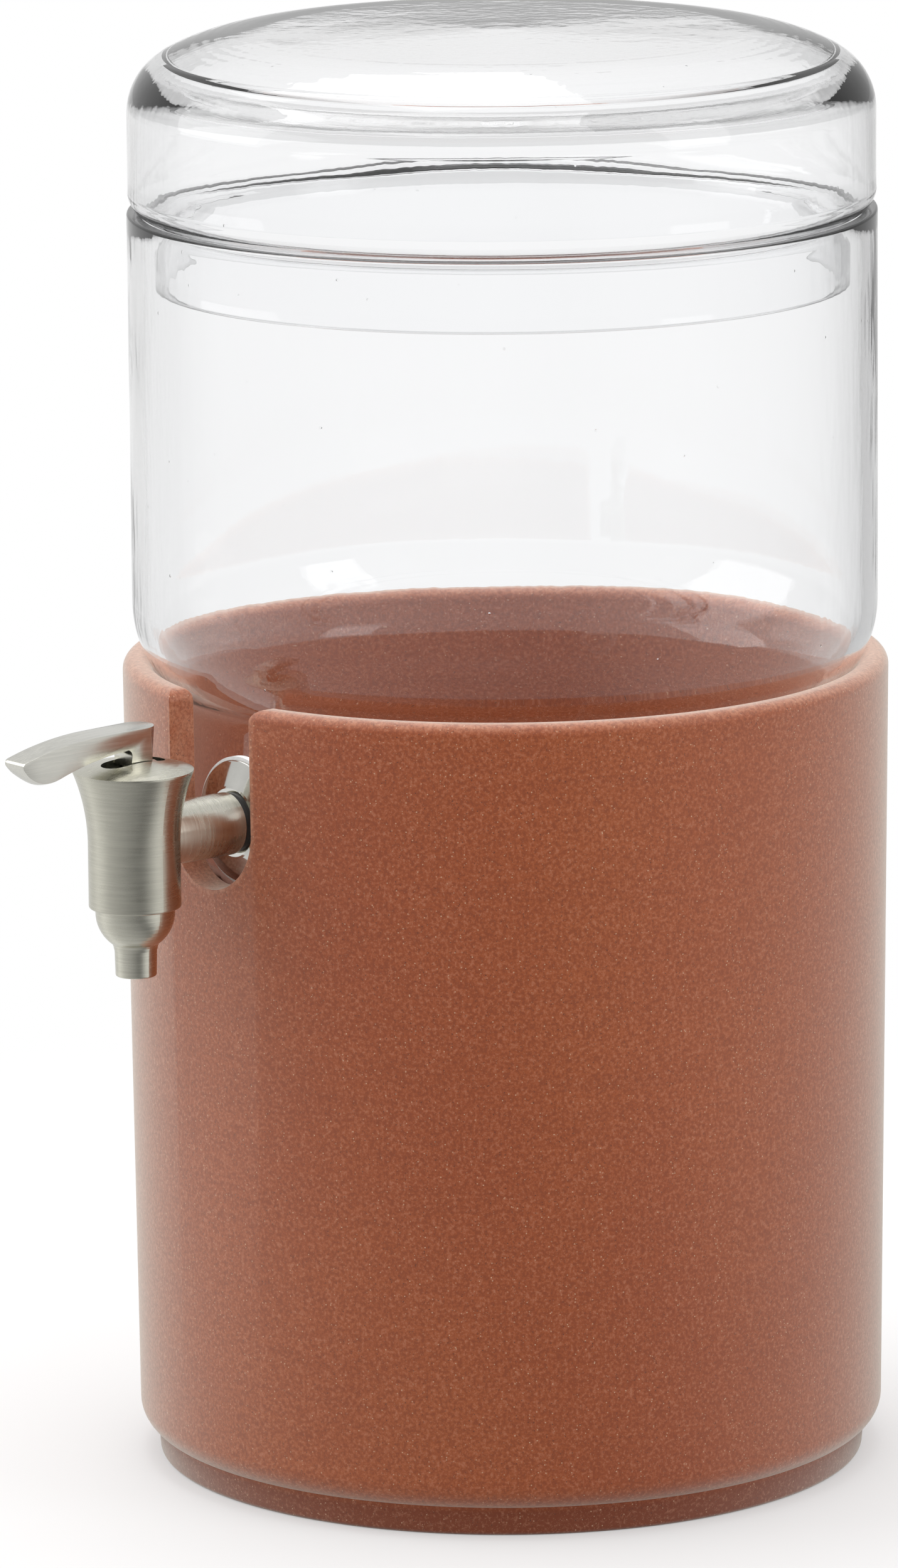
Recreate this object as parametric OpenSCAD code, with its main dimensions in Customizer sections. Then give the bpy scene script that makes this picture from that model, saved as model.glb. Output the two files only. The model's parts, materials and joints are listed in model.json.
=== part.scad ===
// Drink dispenser: a glass vessel with a loose glass lid, nested in a terracotta stand,
// with a stainless lever tap through the vessel's lower wall.
// Millimetres, +Z up. The origin is on the pot's axis, where the foot meets the table.
// The tap points along -Y and its spout axis is vertical.

/* [Stand] */
// Outer diameter at the rim
stand_rim_d = 220; // [190:1:250]
// How much narrower the stand is above its foot than at its rim, in diameter
stand_taper = 4.2; // [0:0.2:8]
// Height of the stand
stand_h = 234.8; // [200:0.2:280]
// Wall thickness
stand_wall = 8.5; // [7.5:0.1:10]
// Thickness of the floor
stand_floor = 10; // [8:1:16]
// Rounding of both rim edges
rim_round = 3.5; // [2.5:0.1:3.7]
// Rounding of the lower outer edge
bottom_round = 8; // [6:0.5:10]
// Rounding where the floor meets the wall inside
floor_round = 10; // [6:1:16]
// How far the foot's top stands back from the wall above it
foot_inset = 5; // [3.5:0.1:6]
// How much the foot widens from the table up, in radius
foot_flare = 0.6; // [0.2:0.1:2]
// Height of the foot
foot_h = 8.5; // [6:0.5:11]
// Bevel at the bottom of the foot
foot_bevel = 1.6; // [0.8:0.1:2.5]

/* [Tap slot in the stand] */
// Width of the slot
slot_w = 36; // [28:0.5:44]
// Rounding of the slot's two top corners
slot_corner = 6; // [3:0.5:9]

/* [Vessel] */
// How far the wide part stands back from the stand's rim
vessel_inset = 3; // [1:0.5:5]
// Height of the straight wall above the shoulder
vessel_wall_h = 112.6; // [60:0.2:180]
// Glass thickness of the wall
glass_wall = 4; // [3:0.1:4.5]
// Outer radius of the shoulder that sits on the stand's rim
shoulder_r = 34; // [28:0.5:42]
// Outer radius of the hollow fillet under the shoulder
neck_r = 8; // [6:0.5:9]
// Gap between the narrow lower part and the stand's inner wall at the rim
lower_gap = 6; // [5:0.1:9]
// Thickness of the vessel's floor
vessel_floor = 6; // [5:0.5:9]
// Outer rounding between the lower wall and the floor
base_r = 16; // [10:1:24]
// Rounding of the ground rim's edges
ground_r = 0.8; // [0.5:0.1:1.2]

/* [Lid] */
// How far the lid's side stands back from the vessel's side
lid_inset = 0.3; // [0:0.1:1.5]
// Gap between the collar that hangs in the vessel and the vessel's wall
collar_gap = 3.7; // [2.5:0.1:6]
// Reach of the collar below the vessel's rim
collar_drop = 20.8; // [10:0.2:40]
// Glass thickness of the lid
lid_wall = 3.5; // [3:0.1:4.5]
// Height of the lid's upright side
lid_side_h = 22.2; // [12:0.2:40]
// Radius of the tight part of the upper edge
edge_r = 18.3; // [14:0.1:22]
// Angle that the tight part of the upper edge turns through
edge_turn = 63; // [55:1:70]
// Radius of the easy part that runs out into the top
crown_r = 57; // [45:1:70]
// Angle from level at which the top of the lid ends at the easy part
crown_fall = 1.5; // [1:0.1:4]

/* [Tap place] */
// Depth of the stem's axis below the stand's rim
tap_drop = 36.2; // [32:0.1:80]
// Distance from the stand's rim out to the spout's axis
spout_out = 25.5; // [21:0.5:40]
// Clearance between the shank and the edge of its hole in the glass
hole_gap = 0.5; // [0.2:0.1:1.5]
// Distance between the inner washer and the rounding of the vessel's floor
washer_clear = 0.8; // [0.2:0.1:12]

/* [Tap body] */
// Bore of the valve chamber
chamber_d = 20.4; // [19:0.2:23]
// Width of the ledge between the valve chamber and the wider bore above it
ledge_w = 1.7; // [1.2:0.1:2.5]
// Height of that ledge over the water bore
ledge_rise = 0.2; // [0:0.1:1]
// Wall of the body at its waist
body_wall = 1.1; // [0.8:0.1:3]
// How far the body flares out at its top
flare_out = 4; // [2:0.1:6]
// Height of the body above the stem's axis
body_up = 20.1; // [18:0.1:23]
// Reach of the body below the stem's axis
body_down = 19.2; // [17:0.1:24]
// Distance below the stem's axis where the flare begins
flare_start = 1; // [0:0.5:4]
// Rise of the cap's crown above its edge
cap_rise = 2.8; // [1.5:0.1:4]
// Height of the cap's outer edge
cap_edge = 0.5; // [0.3:0.1:1]
// Wall of the cap's skirt
skirt_wall = 1.5; // [1.2:0.1:1.7]
// Length of the slot in the cap
cap_slot_l = 20.6; // [18:0.1:21]
// Clearance between the lever and each side of its slot
lever_gap = 0.4; // [0.3:0.05:0.6]

/* [Stem] */
// Diameter of the threaded shank
shank_d = 15.8; // [14:0.1:18]
// How far the stem's shoulder stands out over the shank
stem_step = 1; // [0.6:0.1:2]
// Water bore through the stem and shank
water_d = 9.6; // [8:0.1:11]
// Reach of the shank past the nut
shank_past_nut = 3; // [1:0.5:6]

/* [Flange and seals] */
// Diameter of the polished flange
flange_d = 35; // [30:0.5:39]
// Thickness of the flange at its edge
flange_edge = 1; // [0.8:0.1:1.4]
// Rise of the flange from its edge to its centre
flange_rise = 2.4; // [1.5:0.1:3]
// Diameter of the flange's flat centre
flange_flat_d = 19.6; // [18:0.1:24]
// Diameter of the outer silicone washer
outer_washer_d = 36.8; // [32:0.1:41]
// Thickness of the outer silicone washer over the crest of the glass
outer_washer_t = 2; // [1.5:0.1:2.4]
// Radial width of the dark ring between the stem and the flange
gasket_w = 0.55; // [0.4:0.05:0.9]
// Thickness of that ring
gasket_t = 1.5; // [1:0.1:2]
// Diameter of the inner silicone washer
inner_washer_d = 28; // [25:0.5:32]
// Thickness of the inner silicone washer at its rim
inner_washer_t = 2; // [1.5:0.1:3]
// Diameter of the steel washer under the nut
plate_washer_d = 26; // [23:0.5:30]
// Thickness of the steel washer
plate_washer_t = 1.2; // [1:0.1:2]
// Width across the nut's flats
nut_af = 22; // [20:0.5:24]
// Thickness of the nut
nut_t = 6; // [5:0.5:8]

/* [Outlet] */
// How far the outlet cup stands out over the valve chamber it closes
cup_lip = 1; // [0.5:0.1:2.3]
// Height of the cup's upright edge
cup_edge = 1.4; // [0.8:0.1:3]
// Height of the collar between the cup's bowl and the spout
cup_collar = 1.65; // [1.2:0.05:3]
// Bore of the cup and the spout
outlet_d = 8.6; // [7:0.1:10]
// Wall of the spout
spout_wall = 1.7; // [1.4:0.1:2.4]
// Length of the spout below the cup
spout_l = 7.6; // [5:0.1:16]
// Height of the cup's threaded plug inside the body
plug_h = 5.2; // [4.6:0.1:6]

/* [Lever] */
// Distance of the pivot pin in front of the spout's axis
pivot_out = 6; // [5.4:0.1:6.6]
// Clearance between the gland and the lugs that hold the pivot pin
lug_clear = 1.5; // [1.2:0.1:2]
// Diameter of the pivot pin
pivot_d = 3; // [2.6:0.1:3.3]
// Diameter of the pin that lifts the plunger
link_d = 2.4; // [2.1:0.1:2.7]
// Thickness of the lever's root post
post_w = 7.8; // [7:0.1:8.6]
// Reach of the lever's back end behind the spout's axis, at its top
lever_back = 6.2; // [5.8:0.1:6.6]
// How much farther back the lever's root reaches where it enters the cap
root_lean = 0.7; // [0.3:0.1:1.2]
// Reach of the lever's root in front of the spout's axis
root_front = 0.6; // [0.4:0.1:2]
// Reach of the lever's nose in front of the spout's axis
lever_front = 41.4; // [36:0.2:54]
// Clearance between the crown of the cap and the lever over it
lever_clear = 4; // [3.4:0.1:8]
// Thickness of the lever over the post
lever_t = 5.7; // [5:0.1:6.4]
// Width of the lever at its root
lever_root_w = 10.6; // [10:0.1:12]
// Width of the lever at its nose
lever_nose_w = 8.6; // [8:0.1:9]
// Distance in front of the spout's axis at which the lever's top begins to curve down
lever_bend = 13.5; // [10:0.5:18]
// Slope of the lever's top behind that place, in degrees
lever_fall = 1.2; // [0.5:0.1:2]
// Radius of the lever's upper curve
lever_top_r = 104; // [96:1:130]
// Radius of the lever's lower curve
lever_under_r = 80; // [76:1:90]
// Radius of the belly under the lever's nose
belly_r = 11; // [10.5:0.1:12]
// Rounding of the lever's tip
tip_r = 1.3; // [1:0.1:1.6]

/* [Valve] */
// Diameter of the plunger's rod
rod_d = 4; // [3.5:0.1:4.6]
// Thickness of the plunger's flat tongue
tongue_t = 3.2; // [3:0.1:3.4]
// Swing of the lever from closed to open, in degrees
lever_swing = 25; // [15:1:27]
// Diameter of the silicone seat plug
seat_plug_d = 13.2; // [12:0.1:15]
// Height of the silicone seat plug
seat_plug_h = 4.6; // [4:0.1:5.2]
// Diameter of the plunger's collar
collar_disc_d = 12.4; // [11:0.1:14]
// Thickness of the plunger's collar
collar_disc_t = 1.3; // [1:0.1:1.4]
// Thickness of the gland bush
gland_t = 3.5; // [3.1:0.1:4]
// Wire diameter of the return spring
spring_wire = 0.9; // [0.7:0.1:1]
// Mean coil diameter of the return spring
spring_d = 8.4; // [7.6:0.1:9]
// Number of turns of the return spring
spring_turns = 6; // [5:1:7]

/* [Hidden] */
$fn = 96;

// Clearances
seat_gap = 0.15;      // between parts that rest on each other and lift apart
fit_gap = 0.05;       // between parts that screw or push together
run_gap = 0.06;       // between a moving pin or rod and its bore
valve_gap = 0.05;     // under the closed seat plug
link_play = 0.14;     // around the link pin in the plunger's slot
cut = 1;              // how far a cutting shape runs past what it cuts

// Stand
rim_r = stand_rim_d / 2;
bottom_r = rim_r - stand_taper / 2;
foot_top_r = bottom_r - foot_inset;
foot_r = foot_top_r - foot_flare;
bottom_turn = acos((bottom_round - foot_inset) / bottom_round);
bottom_mid_z = foot_h + bottom_round * sin(bottom_turn);
inner_rim_r = rim_r - stand_wall;
inner_bottom_r = bottom_r - stand_wall;

// Vessel: its shoulder rests on the rounded inner edge of the stand's rim
vessel_r = rim_r - vessel_inset;
vessel_in_r = vessel_r - glass_wall;
lower_r = inner_rim_r - lower_gap;
lower_in_r = lower_r - glass_wall;
rim_edge = [inner_rim_r + rim_round, stand_h - rim_round];
shoulder_x = vessel_r - shoulder_r;
shoulder_z = rim_edge[1] + leg(shoulder_r + rim_round + seat_gap, rim_edge[0] - shoulder_x);
neck_x = lower_r + neck_r;
neck_z = shoulder_z - leg(shoulder_r + neck_r, neck_x - shoulder_x);
neck_turn = acos((neck_x - shoulder_x) / (shoulder_r + neck_r));
vessel_rim_z = shoulder_z + vessel_wall_h;

// The inner washer lies on the straight part of the lower wall, just above the floor's rounding
tap_z = stand_h - tap_drop;
floor_in_r = base_r - glass_wall;
vessel_floor_z = tap_z - inner_washer_d / 2 - washer_clear - floor_in_r;
vessel_base_z = vessel_floor_z - vessel_floor;

// Lid: its turned-in lower edge rests on the inner edge of the vessel's rim
lid_r = vessel_r - lid_inset;
collar_r = vessel_in_r - collar_gap;
turn_r = lid_r - collar_r;
lid_seat_z = vessel_rim_z - ground_r
    + leg(turn_r + ground_r + seat_gap, vessel_in_r + ground_r - collar_r);
lid_side_z = lid_seat_z + lid_side_h;
crown_turn = 90 - crown_fall;
edge_x = lid_r - edge_r;
crown_x = edge_x - (crown_r - edge_r) * cos(edge_turn);
crown_z = lid_side_z - (crown_r - edge_r) * sin(edge_turn);
crown_end_x = crown_x + crown_r * cos(crown_turn);
crown_end_z = crown_z + crown_r * sin(crown_turn);
lid_top_z = crown_end_z + crown_end_x * tan(crown_fall) / 2;

// Tap, measured along its stem from the pot's axis
spout_y = -(rim_r + spout_out);
stem_d = shank_d + 2 * stem_step;
shank_bore_d = shank_d + 2 * fit_gap;
flange_y = lower_r + outer_washer_t;
gasket_y = flange_y + flange_edge + flange_rise;
shoulder_y = gasket_y + gasket_t;
plate_y = leg(lower_in_r, inner_washer_d / 2) - inner_washer_t;
nut_y = plate_y - plate_washer_t;
shank_end_y = nut_y - nut_t - shank_past_nut;

// Body of the tap, in its own frame: z = 0 on the stem's axis
chamber_r = chamber_d / 2;
upper_bore_r = chamber_r + ledge_w;
body_r = upper_bore_r + body_wall;
body_top_r = body_r + flare_out;
body_round = 0.6;     // rounding of the body's lower edge
body_rim_z = body_up - cap_edge;
flare_h = body_rim_z + flare_start;
flare_r = (pow(flare_h, 2) + pow(body_top_r - body_r, 2)) / (2 * (body_top_r - body_r));
flare_turn = asin(flare_h / flare_r);
ledge_z = water_d / 2 + ledge_rise;
gland_top_z = ledge_z + gland_t;
skirt_r = upper_bore_r - fit_gap;
skirt_in_r = skirt_r - skirt_wall;
cap_lap = 1;          // depth of the cap's underside below the seam
cap_under_z = body_rim_z - cap_lap;
lug_w = 2.2;          // thickness of the two lugs under the cap
lug_half = 3.4;       // reach of a lug below the pivot pin's axis
cap_crown_r = (pow(body_top_r, 2) + pow(cap_rise, 2)) / (2 * cap_rise);
cap_crown_turn = asin(body_top_r / cap_crown_r);
slot_half_w = post_w / 2 + lever_gap;

// Outlet
cup_r = chamber_r + cup_lip;
outlet_r = outlet_d / 2;
spout_r = outlet_r + spout_wall;
bowl_z = -body_down - cup_edge;
bowl_end_r = spout_r + 0.6;
bowl_turn = acos(bowl_end_r / cup_r);
neck_top = bowl_z - cup_r * sin(bowl_turn) - cup_collar;
socket_r = outlet_r + 1;
socket_h = 4.4;       // how deep the spout screws into the cup
socket_top = neck_top + socket_h;

// Lever
pivot_up = gland_top_z + lug_clear + lug_half;
lever_crest = body_up + cap_rise + lever_clear + lever_t;
cap_top_z = body_up + cap_rise;
side_draft = atan((lever_root_w - post_w) / 2 / (lever_crest - cap_top_z));
root_tilt = atan(root_lean / (lever_crest - cap_top_z));

// Centres of the arcs in the lever's side view: upper curve, tip, lower curve and belly
top_mid = [
    lever_bend - lever_top_r * sin(lever_fall),
    lever_crest - (lever_bend + lever_back) * tan(lever_fall) - lever_top_r * cos(lever_fall)
];
tip_x = lever_front - tip_r;
tip_mid = [tip_x, top_mid[1] + leg(lever_top_r - tip_r, tip_x - top_mid[0])];
under_mid = [0, lever_crest - lever_t - lever_under_r];
belly_mid = meeting(under_mid, lever_under_r + belly_r, tip_mid, belly_r - tip_r);

// Valve
seat_z = -body_down + plug_h;
plug_bottom_z = seat_z + valve_gap;
plug_top_z = plug_bottom_z + seat_plug_h;
collar_top_z = plug_top_z + collar_disc_t;
rod_r = rod_d / 2;
link_r = link_d / 2;
pivot_r = pivot_d / 2;
link_shift = pivot_out * (1 - cos(lever_swing));
eye_wall = 1.4;       // metal of the lever around its pivot pin
eye_r = pivot_r + eye_wall;
cheek_gap = 0.3;      // between the plunger's tongue and each of the lever's cheeks
cheek_in = tongue_t / 2 + cheek_gap;
link_slot_r = link_r + link_play;
tongue_wall = 1;      // metal of the tongue in front of the link pin's slot
tongue_rear_wall = 1.2;
tongue_top_wall = 1.5;
tongue_front = link_shift + link_slot_r + tongue_wall;
tongue_back = link_slot_r + tongue_rear_wall;
tongue_up = link_slot_r + tongue_top_wall;
rod_socket = 1.2;     // thickness of the seat plug under the end of the rod
seal_r = 0.8;         // section radius of the rod's seal ring
seal_groove = 0.05;   // clearance of the seal ring in its groove

// The other leg of a right triangle with this hypotenuse and leg
function leg(hyp, side) = sqrt(pow(hyp, 2) - pow(side, 2));

// Points along an arc from angle a to angle b, both ends included
function arc(x, y, r, a, b, steps) =
    [for (i = [0 : steps]) let (t = a + (b - a) * i / steps) [x + r * cos(t), y + r * sin(t)]];

// Outline of a slot with round ends, centred, along the second axis
function slot_outline(half_w, half_l) = concat(
    arc(0, half_l - half_w, half_w, 0, 180, 12),
    arc(0, half_w - half_l, half_w, 180, 360, 12)
);

// Stands a shape on the stem's axis at a distance from the pot's axis, pointing outward
module on_stem(distance) {
    translate([0, -distance, tap_z])
        rotate([90, 0, 0])
            children();
}

// Places a shape drawn around the spout's axis with z = 0 on the stem's axis
module on_spout() {
    translate([0, spout_y, tap_z])
        children();
}

// Extrudes an outline drawn as [distance in front of the spout's axis, height] to a width
module across(width) {
    rotate([90, 0, -90])
        translate([0, 0, -width / 2])
            linear_extrude(width)
                children();
}

// A ring on the stem's axis
module stem_ring(outer_d, inner_d, thick) {
    difference() {
        cylinder(d = outer_d, h = thick);
        translate([0, 0, -cut])
            cylinder(d = inner_d, h = thick + 2 * cut);
    }
}

// ---- Stand ----

module stand_shell() {
    outer = concat(
        [[0, 0], [foot_r - foot_bevel, 0], [foot_r, foot_bevel]],
        arc(bottom_r - bottom_round, bottom_mid_z, bottom_round, -bottom_turn, 0, 8),
        arc(rim_r - rim_round, stand_h - rim_round, rim_round, 0, 90, 6),
        arc(inner_rim_r + rim_round, stand_h - rim_round, rim_round, 90, 180, 6)
    );
    inner = concat(
        arc(inner_bottom_r - floor_round, stand_floor + floor_round, floor_round, 0, -90, 6),
        [[0, stand_floor]]
    );
    rotate_extrude()
        polygon(concat(outer, inner));
}

module slot_outline_2d() {
    half = slot_w / 2;
    top = stand_h + cut;
    polygon(concat(
        arc(0, tap_z, half, 180, 360, 32),
        arc(half + slot_corner, stand_h - slot_corner, slot_corner, 180, 90, 8),
        [[half + slot_corner, top], [-half - slot_corner, top]],
        arc(-half - slot_corner, stand_h - slot_corner, slot_corner, 90, 0, 8)
    ));
}

module clay_stand() {
    color("#b4633d")
        difference() {
            stand_shell();
            translate([0, -inner_rim_r + 3 * stand_wall, 0])
                rotate([90, 0, 0])
                    linear_extrude(5 * stand_wall)
                        slot_outline_2d();
        }
}

// ---- Vessel and lid ----

module vessel_shell() {
    outer = concat(
        [[0, vessel_base_z]],
        arc(lower_r - base_r, vessel_base_z + base_r, base_r, -90, 0, 8),
        arc(neck_x, neck_z, neck_r, 180, 180 - neck_turn, 6),
        arc(shoulder_x, shoulder_z, shoulder_r, -neck_turn, 0, 10),
        arc(vessel_r - ground_r, vessel_rim_z - ground_r, ground_r, 0, 90, 3),
        arc(vessel_in_r + ground_r, vessel_rim_z - ground_r, ground_r, 90, 180, 3)
    );
    inner = concat(
        arc(shoulder_x, shoulder_z, shoulder_r - glass_wall, 0, -neck_turn, 10),
        arc(neck_x, neck_z, neck_r + glass_wall, 180 - neck_turn, 180, 6),
        arc(lower_in_r - floor_in_r, vessel_floor_z + floor_in_r, floor_in_r, 0, -90, 8),
        [[0, vessel_floor_z]]
    );
    rotate_extrude()
        polygon(concat(outer, inner));
}

module glass_vessel() {
    color("#dfe8ea", 0.35)
        difference() {
            vessel_shell();
            on_stem(lower_in_r - base_r)
                cylinder(d = shank_d + 2 * hole_gap, h = glass_wall + 2 * base_r);
        }
}

module glass_lid() {
    collar_in_r = collar_r - lid_wall;
    foot_z = vessel_rim_z - collar_drop;
    blend_r = turn_r - lid_wall;
    outer = concat(
        arc(collar_r - ground_r, foot_z + ground_r, ground_r, -90, 0, 3),
        arc(collar_r, lid_seat_z, turn_r, -90, 0, 8),
        arc(edge_x, lid_side_z, edge_r, 0, edge_turn, 9),
        arc(crown_x, crown_z, crown_r, edge_turn, crown_turn, 6),
        [[0, lid_top_z]]
    );
    inner = concat(
        [[0, lid_top_z - lid_wall]],
        arc(crown_x, crown_z, crown_r - lid_wall, crown_turn, edge_turn, 6),
        arc(edge_x, lid_side_z, edge_r - lid_wall, edge_turn, 0, 9),
        arc(collar_r, lid_seat_z, blend_r, 0, -90, 6),
        arc(collar_in_r + ground_r, lid_seat_z - blend_r - ground_r, ground_r, 90, 180, 3),
        arc(collar_in_r + ground_r, foot_z + ground_r, ground_r, 180, 270, 3)
    );
    color("#dfe8ea", 0.35)
        rotate_extrude()
            polygon(concat(outer, inner));
}

// ---- Tap body and stem ----

// Outer outline of the tap's body up to the seam under its cap
function body_outline() = concat(
    arc(body_r - body_round, -body_down + body_round, body_round, -90, 0, 3),
    arc(body_r + flare_r, -flare_start, flare_r, 180, 180 - flare_turn, 10)
);

module tap_body() {
    color("#b9b6af")
        on_spout()
            difference() {
                rotate_extrude()
                    polygon(concat(
                        [[chamber_r, -body_down]],
                        body_outline(),
                        [[upper_bore_r, body_rim_z], [upper_bore_r, ledge_z], [chamber_r, ledge_z]]
                    ));
                rotate([-90, 0, 0])
                    cylinder(d = water_d, h = 2 * body_r);
            }
}

module stem_shank() {
    color("#b9b6af")
        difference() {
            union() {
                on_stem(shank_end_y)
                    cylinder(d = shank_d, h = shoulder_y - shank_end_y);
                on_stem(shoulder_y)
                    cylinder(d = stem_d, h = -spout_y - shoulder_y);
            }
            on_stem(shank_end_y - cut)
                cylinder(d = water_d, h = -spout_y - shank_end_y + cut);
            on_spout()
                rotate_extrude()
                    polygon(concat([[0, -body_down]], body_outline(), [[0, body_rim_z]]));
        }
}

module tap_cap() {
    color("#bdbab3")
        on_spout()
            difference() {
                union() {
                    rotate_extrude()
                        polygon(concat(
                            [[0, cap_under_z], [skirt_in_r, cap_under_z], [skirt_in_r, gland_top_z],
                             [skirt_r, gland_top_z], [skirt_r, body_rim_z], [body_top_r, body_rim_z]],
                            arc(0, body_up + cap_rise - cap_crown_r, cap_crown_r,
                                90 - cap_crown_turn, 90, 8)
                        ));
                    for (side = [-1, 1])
                        intersection() {
                            translate([side * (slot_half_w + lug_w / 2), -pivot_out - lug_half / 4, 0])
                                translate([-lug_w / 2, -1.25 * lug_half, pivot_up - lug_half])
                                    cube([lug_w, 2.25 * lug_half, cap_under_z + 0.5 - pivot_up + lug_half]);
                            cylinder(r = (skirt_r + skirt_in_r) / 2, h = body_up);
                        }
                }
                translate([0, 0, cap_under_z - cut])
                    linear_extrude(body_up)
                        polygon(slot_outline(slot_half_w, cap_slot_l / 2));
                translate([-body_r, -pivot_out, pivot_up])
                    rotate([0, 90, 0])
                        cylinder(r = pivot_r, h = 2 * body_r);
            }
}

module pivot_pin() {
    half = slot_half_w + 2.1;
    color("#9a9a98")
        on_spout()
            translate([-half, -pivot_out, pivot_up])
                rotate([0, 90, 0])
                    cylinder(r = pivot_r - fit_gap / 2, h = 2 * half);
}

// ---- Flange, washers and nut ----

module flange() {
    rise_top = flange_edge + flange_rise;
    brim_r = flange_flat_d / 2 + 0.6;
    brim_drop = 0.25;
    color("#c9c8c4")
        on_stem(flange_y)
            rotate_extrude()
                polygon(concat(
                    [[shank_bore_d / 2, 0], [flange_d / 2, 0]],
                    arc(flange_d / 2 - flange_edge / 2, flange_edge / 2, flange_edge / 2, 0, 90, 4),
                    [[brim_r, rise_top - brim_drop], [flange_flat_d / 2, rise_top],
                     [shank_bore_d / 2, rise_top]]
                ));
}

module stem_gasket() {
    color("#2a2a2a")
        on_stem(gasket_y)
            stem_ring(shank_bore_d + 2 * gasket_w, shank_bore_d, gasket_t);
}

module outer_washer() {
    dip = lower_r - leg(lower_r, outer_washer_d / 2) + cut;
    color("#eef0f0")
        difference() {
            on_stem(lower_r - dip)
                stem_ring(outer_washer_d, shank_bore_d, dip + outer_washer_t);
            translate([0, 0, tap_z - outer_washer_d])
                cylinder(r = lower_r, h = 2 * outer_washer_d, $fn = 240);
        }
}

module inner_washer() {
    color("#eef0f0")
        intersection() {
            on_stem(plate_y)
                stem_ring(inner_washer_d, shank_bore_d, lower_r - plate_y);
            translate([0, 0, tap_z - inner_washer_d])
                cylinder(r = lower_in_r, h = 2 * inner_washer_d, $fn = 240);
        }
}

module plate_washer() {
    color("#a9a8a4")
        on_stem(nut_y)
            stem_ring(plate_washer_d, shank_bore_d, plate_washer_t);
}

module shank_nut() {
    corner_d = nut_af / cos(30);
    chamfer = [1.2, 0.8];
    color("#a9a8a4")
        on_stem(nut_y - nut_t)
            difference() {
                intersection() {
                    cylinder(d = corner_d, h = nut_t, $fn = 6);
                    rotate_extrude()
                        polygon([[0, 0], [corner_d / 2 - chamfer[0], 0],
                                 [corner_d / 2, chamfer[1]], [corner_d / 2, nut_t], [0, nut_t]]);
                }
                translate([0, 0, -cut])
                    cylinder(d = shank_bore_d, h = nut_t + 2 * cut);
            }
}

// ---- Outlet ----

module outlet_cup() {
    seat_r = outlet_r + 1.2;
    seat_bevel = 0.8;
    groove_r = spout_r + 0.1;
    groove_top_r = spout_r + 0.3;
    groove_h = 1;
    color("#b6b3ac")
        on_spout()
            rotate_extrude()
                polygon(concat(
                    [[outlet_r, socket_top], [socket_r, socket_top], [socket_r, neck_top],
                     [groove_r, neck_top], [groove_top_r, neck_top + groove_h]],
                    arc(0, bowl_z, cup_r, -bowl_turn, 0, 9),
                    [[cup_r, -body_down], [chamber_r - fit_gap, -body_down],
                     [chamber_r - fit_gap, seat_z], [seat_r, seat_z],
                     [outlet_r, seat_z - seat_bevel]]
                ));
}

module spout_tube() {
    tip_z = neck_top - spout_l;
    tip_round = 0.5;
    tip_bevel = 0.4;
    tip_draw = 0.2;
    color("#b6b3ac")
        on_spout()
            rotate_extrude()
                polygon(concat(
                    [[outlet_r, socket_top], [outlet_r, tip_z + tip_bevel],
                     [outlet_r + tip_bevel, tip_z]],
                    arc(spout_r - tip_draw - tip_round, tip_z + tip_round, tip_round, -90, 0, 4),
                    [[spout_r, neck_top], [socket_r - fit_gap, neck_top],
                     [socket_r - fit_gap, socket_top]]
                ));
}

// ---- Gland ----

seal_mid_r = rod_r + run_gap + seal_r;
seal_z = ledge_z + gland_t / 2;

module gland_bush() {
    groove_r = seal_mid_r + seal_r + seal_groove;
    groove_half = seal_r + seal_groove;
    bore_r = rod_r + run_gap;
    color("#d8d5c8")
        on_spout()
            rotate_extrude()
                polygon([
                    [bore_r, ledge_z], [skirt_r, ledge_z], [skirt_r, gland_top_z],
                    [bore_r, gland_top_z], [bore_r, seal_z + groove_half],
                    [groove_r, seal_z + groove_half], [groove_r, seal_z - groove_half],
                    [bore_r, seal_z - groove_half]
                ]);
}

module rod_seal() {
    color("#222222")
        on_spout()
            rotate_extrude()
                translate([seal_mid_r, seal_z])
                    circle(r = seal_r, $fn = 32);
}

// ---- Lever ----

// The point at these distances from a and from b, on the left of the way from a to b
function meeting(a, a_r, b, b_r) =
    let (
        between = norm(b - a),
        along = (pow(a_r, 2) - pow(b_r, 2) + pow(between, 2)) / (2 * between),
        way = (b - a) / between
    )
    a + along * way + leg(a_r, along) * [-way[1], way[0]];

// Direction from one point to another, in degrees
function bearing(from, to) = atan2(to[1] - from[1], to[0] - from[0]);

// Side view of the blade: top, tip, belly and lower curve
function blade_outline() =
    let (
        top_end = bearing(top_mid, tip_mid),
        belly_start = bearing(belly_mid, tip_mid),
        under_end = bearing(under_mid, belly_mid)
    )
    concat(
        [[-lever_back - root_lean, lever_crest + root_lean * tan(lever_fall)]],
        arc(top_mid[0], top_mid[1], lever_top_r, 90 - lever_fall, top_end, 10),
        arc(tip_mid[0], tip_mid[1], tip_r, top_end, belly_start, 6),
        arc(belly_mid[0], belly_mid[1], belly_r, belly_start, under_end - 180, 10),
        arc(under_mid[0], under_mid[1], lever_under_r, under_end, 90, 8),
        [[-lever_back - root_lean, under_mid[1] + lever_under_r]]
    );

// Side view of the root between the blade and the cap, with a hollow fillet under the blade
function root_outline() =
    let (
        hollow_r = 2,
        under_z = lever_crest - lever_t
    )
    concat(
        [[-lever_back - root_lean, under_z + hollow_r], [-lever_back - root_lean, cap_top_z - cut],
         [root_front, cap_top_z - cut]],
        arc(root_front + hollow_r, under_z - hollow_r, hollow_r, 180, 90, 5),
        [[root_front + hollow_r, under_z + hollow_r]]
    );

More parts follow.
